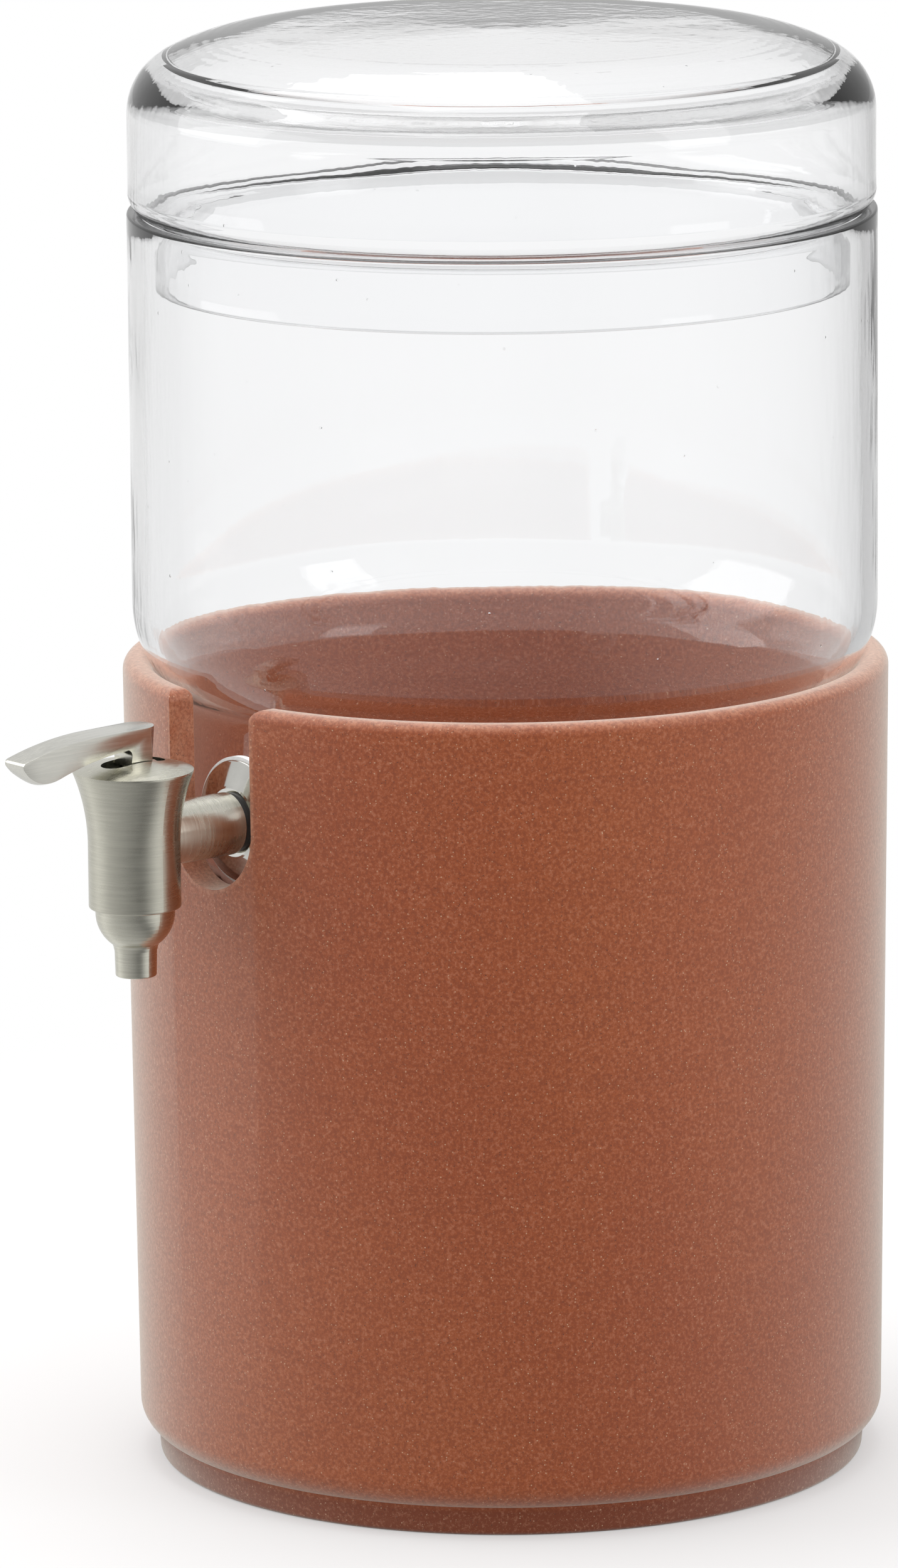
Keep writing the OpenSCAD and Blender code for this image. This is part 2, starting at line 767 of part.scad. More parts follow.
// Everything inside one of the lever's side faces, which lean in toward the cap and the nose
module inside_face(side) {
    size = 2 * lever_front;
    narrowing = (lever_root_w - lever_nose_w) / 2 - (lever_crest - tip_mid[1]) * tan(side_draft);
    side_taper = atan(narrowing / lever_front);
    translate([side * lever_root_w / 2, 0, lever_crest])
        rotate([0, side * side_draft, -side * side_taper])
            translate([side > 0 ? -size : 0, -size, -size])
                cube([size, 2 * size, 2 * size]);
}

// Everything in front of the lever's round back, which leans back toward the cap
module before_back() {
    root_r = lever_root_w / 2;
    translate([0, 0, lever_crest])
        rotate([0, root_tilt, -90])
            translate([0, 0, -lever_crest])
                linear_extrude(2 * lever_crest)
                    polygon(concat(
                        arc(root_r - lever_back, 0, root_r, 90, 270, 16),
                        [[2 * lever_front, -root_r], [2 * lever_front, root_r]]
                    ));
}

module blade_and_root() {
    intersection() {
        across(2 * lever_root_w)
            union() {
                polygon(blade_outline());
                polygon(root_outline());
            }
        inside_face(1);
        inside_face(-1);
        before_back();
    }
}

module lever() {
    post_top = lever_crest - lever_t;
    arch_gap = 0.4;
    arch_z = pivot_up + tongue_up + link_play + pivot_out * sin(lever_swing) + arch_gap;
    cheek_front = root_front - 0.6;
    cheek_round = [1.9, 2.4];
    post_inset = 1.4;
    post_back = lever_back - post_inset;
    color("#c2bfb8")
        on_spout()
            difference() {
                union() {
                    blade_and_root();
                    across(post_w)
                        polygon(concat(
                            [[-post_back, post_top], [-post_back, arch_z - 1]],
                            arc(0, pivot_up, eye_r, 180, 270, 6),
                            arc(pivot_out, pivot_up, eye_r, 270, 400, 8),
                            [[cheek_front + cheek_round[0], arch_z],
                             [cheek_front, arch_z + cheek_round[1]], [cheek_front, post_top]]
                        ));
                }
                across(2 * cheek_in)
                    polygon([[-2 * lever_back, 0], [3 * lever_back, 0],
                             [3 * lever_back, arch_z], [-2 * lever_back, arch_z]]);
                translate([-post_w, -pivot_out, pivot_up])
                    rotate([0, 90, 0])
                        cylinder(r = pivot_r + run_gap, h = 2 * post_w);
                translate([-post_w, 0, pivot_up])
                    rotate([0, 90, 0])
                        cylinder(r = link_r + fit_gap / 2, h = 2 * post_w);
            }
}

module link_pin() {
    color("#9a9a98")
        on_spout()
            translate([-post_w / 2, 0, pivot_up])
                rotate([0, 90, 0])
                    cylinder(r = link_r, h = post_w);
}

// ---- Plunger, seat plug and spring ----

module plunger() {
    tongue_foot = gland_top_z + 0.6;
    rod_end_z = plug_bottom_z + rod_socket;
    bevel = 1;
    color("#a9a8a4")
        on_spout()
            difference() {
                union() {
                    translate([0, 0, rod_end_z])
                        cylinder(r = rod_r, h = tongue_foot + 0.2 - rod_end_z);
                    translate([0, 0, plug_top_z])
                        cylinder(d = collar_disc_d, h = collar_disc_t);
                    across(tongue_t)
                        polygon([
                            [-tongue_back, tongue_foot], [tongue_front, tongue_foot],
                            [tongue_front, pivot_up + tongue_up - bevel],
                            [tongue_front - bevel, pivot_up + tongue_up],
                            [-tongue_back + bevel, pivot_up + tongue_up],
                            [-tongue_back, pivot_up + tongue_up - bevel]
                        ]);
                }
                across(2 * tongue_t)
                    polygon(concat(
                        arc(link_shift, pivot_up, link_slot_r, -90, 90, 12),
                        arc(0, pivot_up, link_slot_r, 90, 270, 12)
                    ));
            }
}

module seat_plug() {
    plug_r = seat_plug_d / 2;
    plug_round = 0.6;
    plug_bevel = 1.4;
    color("#e9ebea")
        on_spout()
            difference() {
                rotate_extrude()
                    polygon(concat(
                        [[0, plug_bottom_z]],
                        arc(plug_r - plug_round, plug_bottom_z + plug_round, plug_round, -90, 0, 4),
                        [[plug_r, plug_top_z - plug_bevel], [plug_r - plug_bevel, plug_top_z],
                         [0, plug_top_z]]
                    ));
                translate([0, 0, plug_bottom_z + rod_socket - fit_gap])
                    cylinder(r = rod_r + fit_gap / 2, h = seat_plug_h);
            }
}

// The spring's wire is a tube swept along a helix with closed, flat-lying ends
spring_sides = 6;
spring_steps = 16;
spring_lo = collar_top_z + 0.02;
spring_hi = ledge_z - 0.02;
spring_count = spring_turns * spring_steps;

// Height of the wire's centre after a share t of the turns; the end turns lie nearly flat
function spring_z(t) =
    let (
        low = spring_lo + spring_wire / 2,
        high = spring_hi - spring_wire / 2,
        rest = spring_wire * 1.05,
        turn = 1 / spring_turns
    )
    t < turn ? low + rest * t / turn
    : t > 1 - turn ? high - rest * (1 - t) / turn
    : low + rest + (high - low - 2 * rest) * (t - turn) / (1 - 2 * turn);

function spring_point(i, j) =
    let (
        around = 360 * i / spring_steps,
        tube = 360 * (j + 0.5) / spring_sides,
        half = spring_wire / 2 / cos(180 / spring_sides),
        r = spring_d / 2 + half * cos(tube)
    )
    [r * cos(around), r * sin(around), spring_z(i / spring_count) + spring_wire / 2 * sin(tube)];

module return_spring() {
    ring = [for (i = [0 : spring_count], j = [0 : spring_sides - 1]) spring_point(i, j)];
    walls = [
        for (i = [0 : spring_count - 1], j = [0 : spring_sides - 1])
            let (a = i * spring_sides + j, b = i * spring_sides + (j + 1) % spring_sides)
                each [[a, b, b + spring_sides], [a, b + spring_sides, a + spring_sides]]
    ];
    start_cap = [for (j = [1 : spring_sides - 2]) [0, j + 1, j]];
    last = spring_count * spring_sides;
    end_cap = [for (j = [1 : spring_sides - 2]) [last, last + j, last + j + 1]];
    color("#9c9c9a")
        on_spout()
            polyhedron(points = ring, faces = concat(walls, start_cap, end_cap));
}

clay_stand();
glass_vessel();
glass_lid();
tap_body();
stem_shank();
tap_cap();
flange();
stem_gasket();
outer_washer();
inner_washer();
plate_washer();
shank_nut();
outlet_cup();
spout_tube();
gland_bush();
rod_seal();
pivot_pin();
lever();
link_pin();
plunger();
seat_plug();
return_spring();
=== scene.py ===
"""Drink dispenser: a glass vessel and lid in a terracotta stand, with a stainless lever tap."""
import json
import math

import bmesh
import bpy
from mathutils import Matrix, Vector, noise

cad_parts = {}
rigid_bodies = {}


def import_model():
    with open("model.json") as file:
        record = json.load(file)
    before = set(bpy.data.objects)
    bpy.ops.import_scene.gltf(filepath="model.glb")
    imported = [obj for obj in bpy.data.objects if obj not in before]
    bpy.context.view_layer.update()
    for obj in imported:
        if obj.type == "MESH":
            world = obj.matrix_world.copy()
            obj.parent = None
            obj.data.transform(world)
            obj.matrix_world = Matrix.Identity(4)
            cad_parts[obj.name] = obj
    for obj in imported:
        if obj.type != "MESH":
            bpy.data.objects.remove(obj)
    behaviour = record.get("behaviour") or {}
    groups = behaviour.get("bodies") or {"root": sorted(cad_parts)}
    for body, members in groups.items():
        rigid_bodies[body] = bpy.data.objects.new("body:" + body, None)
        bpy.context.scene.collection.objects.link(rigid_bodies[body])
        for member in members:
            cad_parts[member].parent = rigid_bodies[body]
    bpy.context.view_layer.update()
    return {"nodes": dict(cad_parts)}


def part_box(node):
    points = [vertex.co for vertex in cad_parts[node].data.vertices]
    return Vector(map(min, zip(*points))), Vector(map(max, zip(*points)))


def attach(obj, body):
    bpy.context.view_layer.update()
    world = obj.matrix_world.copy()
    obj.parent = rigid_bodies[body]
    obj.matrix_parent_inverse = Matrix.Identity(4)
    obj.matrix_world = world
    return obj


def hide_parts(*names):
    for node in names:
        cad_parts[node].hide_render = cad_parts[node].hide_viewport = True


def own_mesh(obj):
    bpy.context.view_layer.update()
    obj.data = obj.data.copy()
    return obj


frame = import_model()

MM = 0.001
nodes = frame["nodes"]
scene = bpy.context.scene


# ---------------------------------------------------------------- camera

PHOTO_H = 2500                   # pixels
SENSOR = 36.0                    # mm along the photo's long side
FOCAL_PX = 16057.0               # focal length in pixels of the photo
CAMERA_AWAY = 2.8439             # from the pot's axis, along the table
CAMERA_UP = 0.7850
CAMERA_AZIMUTH = math.radians(50.3)
CAMERA_PITCH = math.radians(11.703)
CAMERA_YAW = math.radians(-0.333)
CAMERA_ROLL = math.radians(-0.504)


def make_camera():
    a = CAMERA_AZIMUTH
    up = Vector((0, 0, 1))
    ahead = Vector((-math.sin(a), math.cos(a), 0))
    right = Vector((math.cos(a), math.sin(a), 0))
    ahead, right = (
        ahead * math.cos(CAMERA_YAW) + right * math.sin(CAMERA_YAW),
        right * math.cos(CAMERA_YAW) - ahead * math.sin(CAMERA_YAW),
    )
    look = ahead * math.cos(CAMERA_PITCH) - up * math.sin(CAMERA_PITCH)
    above = ahead * math.sin(CAMERA_PITCH) + up * math.cos(CAMERA_PITCH)
    cam_x = right * math.cos(CAMERA_ROLL) + above * math.sin(CAMERA_ROLL)
    cam_y = above * math.cos(CAMERA_ROLL) - right * math.sin(CAMERA_ROLL)
    data = bpy.data.cameras.new("camera")
    data.sensor_width = SENSOR
    data.lens = FOCAL_PX * SENSOR / PHOTO_H
    data.clip_start = 0.05
    data.clip_end = 100
    cam = bpy.data.objects.new("camera", data)
    scene.collection.objects.link(cam)
    place = Vector((math.sin(a) * CAMERA_AWAY, -math.cos(a) * CAMERA_AWAY, CAMERA_UP))
    turn = Matrix((cam_x, cam_y, -look)).transposed().to_4x4()
    cam.matrix_world = Matrix.Translation(place) @ turn
    scene.camera = cam


make_camera()


# ---------------------------------------------------------------- sizes

stand_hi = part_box("clay_stand")[1]
vessel_lo, vessel_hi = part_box("glass_vessel")
lid_lo, lid_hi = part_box("glass_lid")
body_lo, body_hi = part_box("tap_body")
spout = Vector(((body_lo.x + body_hi.x) / 2, (body_lo.y + body_hi.y) / 2, 0))
stem_lo, stem_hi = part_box("stem_shank")
TAP_Z = (stem_lo.z + stem_hi.z) / 2

# Stand
RIM_R = stand_hi.x
STAND_H = stand_hi.z
TAPER = 2.1 * MM
WALL = 8.5 * MM
FLOOR_T = 10 * MM
RIM_ROUND = 3.5 * MM
FLOOR_ROUND = 10 * MM
FOOT_H = 8.5 * MM
FOOT_BEVEL = 1.6 * MM
FOOT_FLARE = 0.6 * MM
FOOT_INSET = 5 * MM
BOTTOM_ROUND = 8 * MM
SLOT_HALF = 18 * MM
SLOT_CORNER = 4 * MM
SLOT_EDGE = 1.3 * MM

# Vessel
VESSEL_R = vessel_hi.x
GLASS = 4 * MM
SHOULDER_R = 34 * MM
NECK_R = 8 * MM
LOWER_R = 95.5 * MM
BASE_R = 16 * MM
VESSEL_FLOOR = 6 * MM
GROUND_R = 0.8 * MM
SEAT_GAP = 0.15 * MM
HOLE_R = 8.4 * MM

# Lid
LID_R = lid_hi.x
COLLAR_R = 99.3 * MM
LID_GLASS = 2.7 * MM
CURL_GLASS = 1.9 * MM              # the glass is thinner where it turns in
SHOULDER_EXTRA = 2.4 * MM          # and thicker at the lid's shoulder
THICK_AT = 52                      # degrees above level
THICK_SPAN = 50
DRAW_RING = 3.6 * MM               # spacing of the faint rings near the dome's edge
LID_SIDE_H = 22.2 * MM
EDGE_R = 18.3 * MM
EDGE_TURN = 63
CROWN_R = 57 * MM
CROWN_FALL = 1.5


def leg(hyp, side):
    return math.sqrt(hyp * hyp - side * side)


def arc(x, z, r, a, b, steps):
    """Points along an arc from angle a to angle b in degrees, both ends included."""
    out = []
    for i in range(steps + 1):
        t = math.radians(a + (b - a) * i / steps)
        out.append((x + r * math.cos(t), z + r * math.sin(t)))
    return out


def subdivided(loop, step):
    """The closed outline with its long straight stretches cut into pieces no longer than step."""
    out = []
    for i, (x0, z0) in enumerate(loop):
        x1, z1 = loop[(i + 1) % len(loop)]
        cuts = max(1, math.ceil(math.hypot(x1 - x0, z1 - z0) / step))
        for k in range(cuts):
            out.append((x0 + (x1 - x0) * k / cuts, z0 + (z1 - z0) * k / cuts))
    return out


# ---------------------------------------------------------------- mesh helpers

AXIS_EPS = 1e-6


def new_object(name, mesh):
    obj = bpy.data.objects.new(name, mesh)
    scene.collection.objects.link(obj)
    return obj


def built(name, bm):
    """An object from a finished bmesh, which is freed, with its faces turned outward."""
    bmesh.ops.recalc_face_normals(bm, faces=bm.faces)
    mesh = bpy.data.meshes.new(name)
    bm.to_mesh(mesh)
    bm.free()
    return new_object(name, mesh)


def lathe(name, loop, segments, warp=None):
    """Turns a closed outline of (radius, height) round the z axis. Outlines may touch the axis."""
    bm = bmesh.new()
    rings = []
    for r, z in loop:
        if r < AXIS_EPS:
            rings.append([bm.verts.new((0, 0, z))])
            continue
        ring = []
        for k in range(segments):
            a = 2 * math.pi * k / segments
            rr, zz = (r, z) if warp is None else warp(r, z, a)
            ring.append(bm.verts.new((rr * math.cos(a), rr * math.sin(a), zz)))
        rings.append(ring)
    for i, low in enumerate(rings):
        high = rings[(i + 1) % len(rings)]
        for k in range(segments):
            n = (k + 1) % segments
            corners = [low[k % len(low)], low[n % len(low)],
                       high[n % len(high)], high[k % len(high)]]
            unique = list(dict.fromkeys(corners))
            if len(unique) > 2:
                bm.faces.new(unique)
    obj = built(name, bm)
    for p in obj.data.polygons:
        p.use_smooth = True
    return obj


def prism(name, outline, axis, start, end):
    """A straight solid: an outline in the x-z plane pushed along y, or in the x-y plane along z."""
    bm = bmesh.new()
    sides = []
    for at in (start, end):
        sides.append([bm.verts.new((u, at, v) if axis == "y" else (u, v, at))
                      for u, v in outline])
    bm.faces.new(sides[0])
    bm.faces.new(list(reversed(sides[1])))
    count = len(outline)
    for i in range(count):
        j = (i + 1) % count
        bm.faces.new((sides[0][j], sides[0][i], sides[1][i], sides[1][j]))
    return built(name, bm)


def apply_modifiers(obj):
    graph = bpy.context.evaluated_depsgraph_get()
    mesh = bpy.data.meshes.new_from_object(obj.evaluated_get(graph))
    obj.modifiers.clear()
    obj.data = mesh


def combine(obj, tool, operation):
    """Cuts or joins obj with tool, which is then deleted."""
    mod = obj.modifiers.new("combine", "BOOLEAN")
    mod.operation = operation
    mod.solver = "EXACT"
    mod.object = tool
    apply_modifiers(obj)
    bpy.data.objects.remove(tool)


def smooth(obj, angle=40):
    """Smooth shading with crisp edges where faces meet at more than this angle."""
    for p in obj.data.polygons:
        p.use_smooth = True
    bm = bmesh.new()
    bm.from_mesh(obj.data)
    limit = math.radians(angle)
    for e in bm.edges:
        e.smooth = len(e.link_faces) != 2 or e.calc_face_angle(0) < limit
    bm.to_mesh(obj.data)
    bm.free()


def dress(obj, body, slot, material, *replaced):
    obj.data.materials.clear()
    obj.data.materials.append(material)
    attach(obj, body)
    if replaced:
        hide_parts(*replaced)


# ---------------------------------------------------------------- materials

def new_material(name):
    mat = bpy.data.materials.new(name)
    mat.use_nodes = True
    tree = mat.node_tree
    shader = tree.nodes["Principled BSDF"]
    return mat, tree, shader


def add(tree, kind, **values):
    """A node with its named properties and input values set."""
    node = tree.nodes.new(kind)
    for key, value in values.items():
        if key.startswith("in_"):
            node.inputs[key[3:]].default_value = value
        else:
            setattr(node, key, value)
    return node


def noise_tex(tree, vector, scale, detail=2.0, rough=0.5, distort=0.0):
    tex = add(tree, "ShaderNodeTexNoise")
    tex.inputs["Scale"].default_value = scale
    tex.inputs["Detail"].default_value = detail
    tex.inputs["Roughness"].default_value = rough
    tex.inputs["Distortion"].default_value = distort
    tree.links.new(vector, tex.inputs["Vector"])
    return tex.outputs["Fac"]


def spread(tree, value, lo, hi, to_lo=0.0, to_hi=1.0):
    node = add(tree, "ShaderNodeMapRange", interpolation_type="SMOOTHSTEP")
    node.inputs["From Min"].default_value = lo
    node.inputs["From Max"].default_value = hi
    node.inputs["To Min"].default_value = to_lo
    node.inputs["To Max"].default_value = to_hi
    tree.links.new(value, node.inputs["Value"])
    return node.outputs["Result"]


def mixed(tree, factor, a, b):
    """A colour mix. a and b are colours or sockets, factor a number or a socket."""
    node = add(tree, "ShaderNodeMix", data_type="RGBA", clamp_factor=True)
    for socket, value in ((node.inputs[0], factor), (node.inputs[6], a), (node.inputs[7], b)):
        if hasattr(value, "is_linked"):
            tree.links.new(value, socket)
        elif isinstance(value, (int, float)):
            socket.default_value = value
        else:
            socket.default_value = (*value, 1)
    return node.outputs[2]


def calc(tree, operation, a, b=0.0):
    node = add(tree, "ShaderNodeMath", operation=operation)
    for socket, value in ((node.inputs[0], a), (node.inputs[1], b)):
        if hasattr(value, "is_linked"):
            tree.links.new(value, socket)
        else:
            socket.default_value = value
    return node.outputs[0]


def scaled_vector(tree, vector, scale):
    node = add(tree, "ShaderNodeMapping")
    node.inputs["Scale"].default_value = scale
    tree.links.new(vector, node.inputs["Vector"])
    return node.outputs["Vector"]


def grains(tree, vector, scale, size, share):
    """Small round grains scattered through the clay: how far each point belongs to one, 0 to 1."""
    cells = add(tree, "ShaderNodeTexVoronoi", feature="F1")
    cells.inputs["Scale"].default_value = scale
    tree.links.new(vector, cells.inputs["Vector"])
    near = spread(tree, cells.outputs["Distance"], size, size * 0.5)
    split = add(tree, "ShaderNodeSeparateColor")
    tree.links.new(cells.outputs["Color"], split.inputs[0])
    kept = spread(tree, split.outputs[0], share, 0.0)
    return calc(tree, "MULTIPLY", near, kept)


# Pattern scales, per metre
CLAY_CLOUDS = 7.0
CLAY_FLAMES = 12.0
CLAY_STREAKS = 420.0
CLAY_RUBBED = 240.0
CLAY_GRAIN = 1000.0
GLASS_WAVES = 34.0
GLASS_LINES = 230.0
GLASS_SEEDS = 75.0
BRUSH_LINES = 1700.0
BRUSH_SMUDGES = 90.0
POLISH_HAZE = 160.0
RUBBER_GRAIN = 1400.0

# Clay, in linear colours
CLAY = (0.384, 0.074, 0.009)
CLAY_PALE = (0.412, 0.093, 0.016)      # slow clouds
CLAY_DEEP = (0.338, 0.056, 0.005)      # upright flames
CLAY_TURNED = (0.28, 0.048, 0.008)     # fine level streaks
CLAY_WORN = (0.52, 0.20, 0.10)
# painted shade: the dark colour the clay is mixed toward at the foot, for its shadow near the floor
FOOT_PAINTED_SHADE = (0.17, 0.025, 0.002)
GRAIN_DARK = (0.22, 0.034, 0.003)
GRAIN_PALE = (0.56, 0.24, 0.14)
SPECK_SMALL = (0.50, 0.25, 0.14)
SPECK_LARGE = (0.66, 0.42, 0.27)
SPECK_DARK = (0.05, 0.014, 0.008)
SLOT_WEAR = (1.7 * MM, 0.5 * MM)       # outside the slot: where the wear begins, and is full
RIM_WEAR = (2.6 * MM, 0.4 * MM)        # the same below the rim's top
FOOT_SHADE = (0.5 * MM, -2 * MM)       # the same above the foot's top, for the painted shade that darkens the foot


def worn_edges(tree, place):
    """Where the clay is rubbed pale: along the top of the rim and round the slot's edge, 0 to 1."""
    split = add(tree, "ShaderNodeSeparateXYZ")
    tree.links.new(place, split.inputs[0])
    x, y, z = split.outputs
    below = calc(tree, "MINIMUM", calc(tree, "SUBTRACT", z, TAP_Z), 0.0)
    square = calc(tree, "ADD", calc(tree, "MULTIPLY", x, x), calc(tree, "MULTIPLY", below, below))
    slot = spread(tree, calc(tree, "SQRT", square), *(SLOT_HALF + wear for wear in SLOT_WEAR))
    slot = calc(tree, "MULTIPLY", slot, calc(tree, "LESS_THAN", y, 0.0))
    rim = spread(tree, z, *(STAND_H - wear for wear in RIM_WEAR))
    patchy = spread(tree, noise_tex(tree, place, CLAY_RUBBED, 3.0, 0.6), 0.34, 0.62, 0.35, 1.0)
    return calc(tree, "MULTIPLY", calc(tree, "MAXIMUM", slot, rim), patchy)


def terracotta():
    mat, tree, shader = new_material("terracotta")
    place = add(tree, "ShaderNodeTexCoord").outputs["Object"]
    wide = scaled_vector(tree, place, (1, 1, 0.6))
    cloud = spread(tree, noise_tex(tree, wide, CLAY_CLOUDS, 2.0, 0.5, 0.3), 0.35, 0.70)
    colour = mixed(tree, calc(tree, "MULTIPLY", cloud, 0.8), CLAY, CLAY_PALE)
    tall = scaled_vector(tree, place, (1, 1, 0.4))
    flame = spread(tree, noise_tex(tree, tall, CLAY_FLAMES, 1.5), 0.48, 0.74)
    colour = mixed(tree, calc(tree, "MULTIPLY", flame, 0.5), colour, CLAY_DEEP)
    level = scaled_vector(tree, place, (0.03, 0.03, 1))
    turned = noise_tex(tree, level, CLAY_STREAKS, 3.0, 0.6)
    colour = mixed(tree, spread(tree, turned, 0.35, 0.65, 0.20, 0.0), colour, CLAY_TURNED)
    worn = calc(tree, "MULTIPLY", worn_edges(tree, place), 0.75)
    colour = mixed(tree, worn, colour, CLAY_WORN)
    split = add(tree, "ShaderNodeSeparateXYZ")
    tree.links.new(place, split.inputs[0])
    # painted shade: the clay darkens toward the bottom of the foot, standing in for its shadow near
    # the floor
    foot = spread(tree, split.outputs[2], *(FOOT_H + above for above in FOOT_SHADE), 0.0, 0.7)
    colour = mixed(tree, foot, colour, FOOT_PAINTED_SHADE)
    grain = noise_tex(tree, place, CLAY_GRAIN, 3.0, 0.65)
    colour = mixed(tree, spread(tree, grain, 0.36, 0.56, 0.55, 0.0), colour, GRAIN_DARK)
    colour = mixed(tree, spread(tree, grain, 0.50, 0.72, 0.0, 0.45), colour, GRAIN_PALE)
    large = grains(tree, place, 800.0, 0.20, 0.75)
    small = grains(tree, place, 1700.0, 0.27, 0.8)
    dark = grains(tree, place, 1000.0, 0.20, 0.7)
    colour = mixed(tree, calc(tree, "MULTIPLY", small, 0.6), colour, SPECK_SMALL)
    colour = mixed(tree, calc(tree, "MULTIPLY", large, 0.9), colour, SPECK_LARGE)
    colour = mixed(tree, calc(tree, "MULTIPLY", dark, 0.85), colour, SPECK_DARK)
    tree.links.new(colour, shader.inputs["Base Color"])
    tree.links.new(spread(tree, grain, 0.3, 0.7, 0.48, 0.36), shader.inputs["Roughness"])
    shader.inputs["Specular IOR Level"].default_value = 0.4
    shader.inputs["Diffuse Roughness"].default_value = 0.4
    shader.inputs["Sheen Weight"].default_value = 0.75
    shader.inputs["Sheen Roughness"].default_value = 0.5
    shader.inputs["Sheen Tint"].default_value = (0.95, 1.0, 0.92, 1)
    height = calc(tree, "SUBTRACT", grain, calc(tree, "MULTIPLY", dark, 0.8))
    bump = add(tree, "ShaderNodeBump", in_Strength=0.45, in_Distance=0.1 * MM)
    tree.links.new(height, bump.inputs["Height"])
    tree.links.new(bump.outputs["Normal"], shader.inputs["Normal"])
    return mat


def glass(name, tint, seed):
    """Clear glass with slow waves, fine draw lines and a few tiny seeds in its surface."""
    mat, tree, shader = new_material(name)
    shader.inputs["Base Color"].default_value = (*tint, 1)
    shader.inputs["Transmission Weight"].default_value = 1.0
    shader.inputs["Roughness"].default_value = 0.0
    shader.inputs["IOR"].default_value = GLASS_IOR
    shift = add(tree, "ShaderNodeMapping")
    shift.inputs["Location"].default_value = (seed, seed, seed)
    tree.links.new(add(tree, "ShaderNodeTexCoord").outputs["Object"], shift.inputs["Vector"])
    place = shift.outputs["Vector"]
    waves = noise_tex(tree, scaled_vector(tree, place, (1, 1, 0.6)), GLASS_WAVES, 1.0, 0.4)
    lines = noise_tex(tree, scaled_vector(tree, place, (1, 1, 0.25)), GLASS_LINES, 1.0, 0.5)
    cells = add(tree, "ShaderNodeTexVoronoi", feature="F1")
    cells.inputs["Scale"].default_value = GLASS_SEEDS
    tree.links.new(place, cells.inputs["Vector"])
    seeds = spread(tree, cells.outputs["Distance"], 0.030, 0.012)
    height = calc(tree, "ADD", waves, calc(tree, "MULTIPLY", lines, 0.24))
    height = calc(tree, "ADD", height, seeds)
    bump = add(tree, "ShaderNodeBump", in_Strength=1.0, in_Distance=0.09 * MM)
    tree.links.new(height, bump.inputs["Height"])
    tree.links.new(bump.outputs["Normal"], shader.inputs["Normal"])
    return mat


def brushed(name, colour, rough, stretch, turned=None):
    """Brushed steel: fine scratches along the axes that stretch keeps small. turned is the axis
    the piece was turned about, if it was, so that its highlights draw out across the scratches."""
    mat, tree, shader = new_material(name)
    place = add(tree, "ShaderNodeTexCoord").outputs["Object"]
    lines = noise_tex(tree, scaled_vector(tree, place, stretch), BRUSH_LINES, 4.0, 0.65)
    smudge = noise_tex(tree, place, BRUSH_SMUDGES, 2.0)
    darker = tuple(c * 0.88 for c in colour)
    tint = mixed(tree, spread(tree, lines, 0.35, 0.70), darker, colour)
    tree.links.new(tint, shader.inputs["Base Color"])
    base = spread(tree, lines, 0.3, 0.7, rough - 0.03, rough + 0.04)
    shine = calc(tree, "ADD", base, spread(tree, smudge, 0.4, 0.7, -0.02, 0.05))
    tree.links.new(shine, shader.inputs["Roughness"])
    shader.inputs["Metallic"].default_value = 1.0
    if turned:
        round_it = add(tree, "ShaderNodeTangent", direction_type="RADIAL", axis=turned)
        tree.links.new(round_it.outputs[0], shader.inputs["Tangent"])
        shader.inputs["Anisotropic"].default_value = 0.6
        shader.inputs["Anisotropic Rotation"].default_value = 0.25
    bump = add(tree, "ShaderNodeBump", in_Strength=0.01, in_Distance=0.02 * MM)
    tree.links.new(lines, bump.inputs["Height"])
    tree.links.new(bump.outputs["Normal"], shader.inputs["Normal"])
    return mat


def polished(name, colour, rough):
    mat, tree, shader = new_material(name)
    place = add(tree, "ShaderNodeTexCoord").outputs["Object"]
    haze = noise_tex(tree, place, POLISH_HAZE, 3.0)
    darker = tuple(c * 0.92 for c in colour)
    tint = mixed(tree, spread(tree, haze, 0.35, 0.7), darker, colour)
    tree.links.new(tint, shader.inputs["Base Color"])
    shine = spread(tree, haze, 0.35, 0.7, rough, rough + 0.05)
    tree.links.new(shine, shader.inputs["Roughness"])
    shader.inputs["Metallic"].default_value = 1.0
    return mat


def rubber(name, colour, rough, see_through=0.0):
    mat, tree, shader = new_material(name)
    place = add(tree, "ShaderNodeTexCoord").outputs["Object"]
    grain = noise_tex(tree, place, RUBBER_GRAIN, 3.0)
    darker = tuple(c * 0.93 for c in colour)
    tint = mixed(tree, spread(tree, grain, 0.3, 0.7), darker, colour)
    tree.links.new(tint, shader.inputs["Base Color"])
    shine = spread(tree, grain, 0.3, 0.7, rough - 0.05, rough + 0.06)
    tree.links.new(shine, shader.inputs["Roughness"])
    shader.inputs["Subsurface Weight"].default_value = see_through
    shader.inputs["Subsurface Radius"].default_value = (0.002, 0.002, 0.002)
    return mat


GLASS_IOR = 1.47
GLASS_TINT = (0.984, 0.986, 0.990)
STEEL = (0.65, 0.635, 0.545)
clay_mat = terracotta()
vessel_glass = glass("clear_glass", GLASS_TINT, 0.0)
lid_glass = glass("lid_glass", GLASS_TINT, 3.7)
AROUND_SPOUT = (0.04, 0.04, 1)
ALONG_STEM = (1, 0.04, 1)
AROUND_STEM = (0.04, 1, 0.04)
body_mat = brushed("brushed_body", STEEL, 0.27, AROUND_SPOUT, "Z")
cap_mat = brushed("brushed_cap", STEEL, 0.25, ALONG_STEM)
lever_mat = brushed("brushed_lever", (0.72, 0.71, 0.65), 0.20, ALONG_STEM)
stem_mat = brushed("brushed_stem", (0.73, 0.71, 0.62), 0.24, AROUND_STEM, "Y")
outlet_mat = brushed("brushed_outlet", (0.71, 0.695, 0.60), 0.24, AROUND_SPOUT, "Z")
flange_mat = polished("polished_flange", (0.70, 0.69, 0.65), 0.08)
plain_mat = brushed("plain_steel", (0.55, 0.55, 0.54), 0.32, (0.3, 1, 0.3))
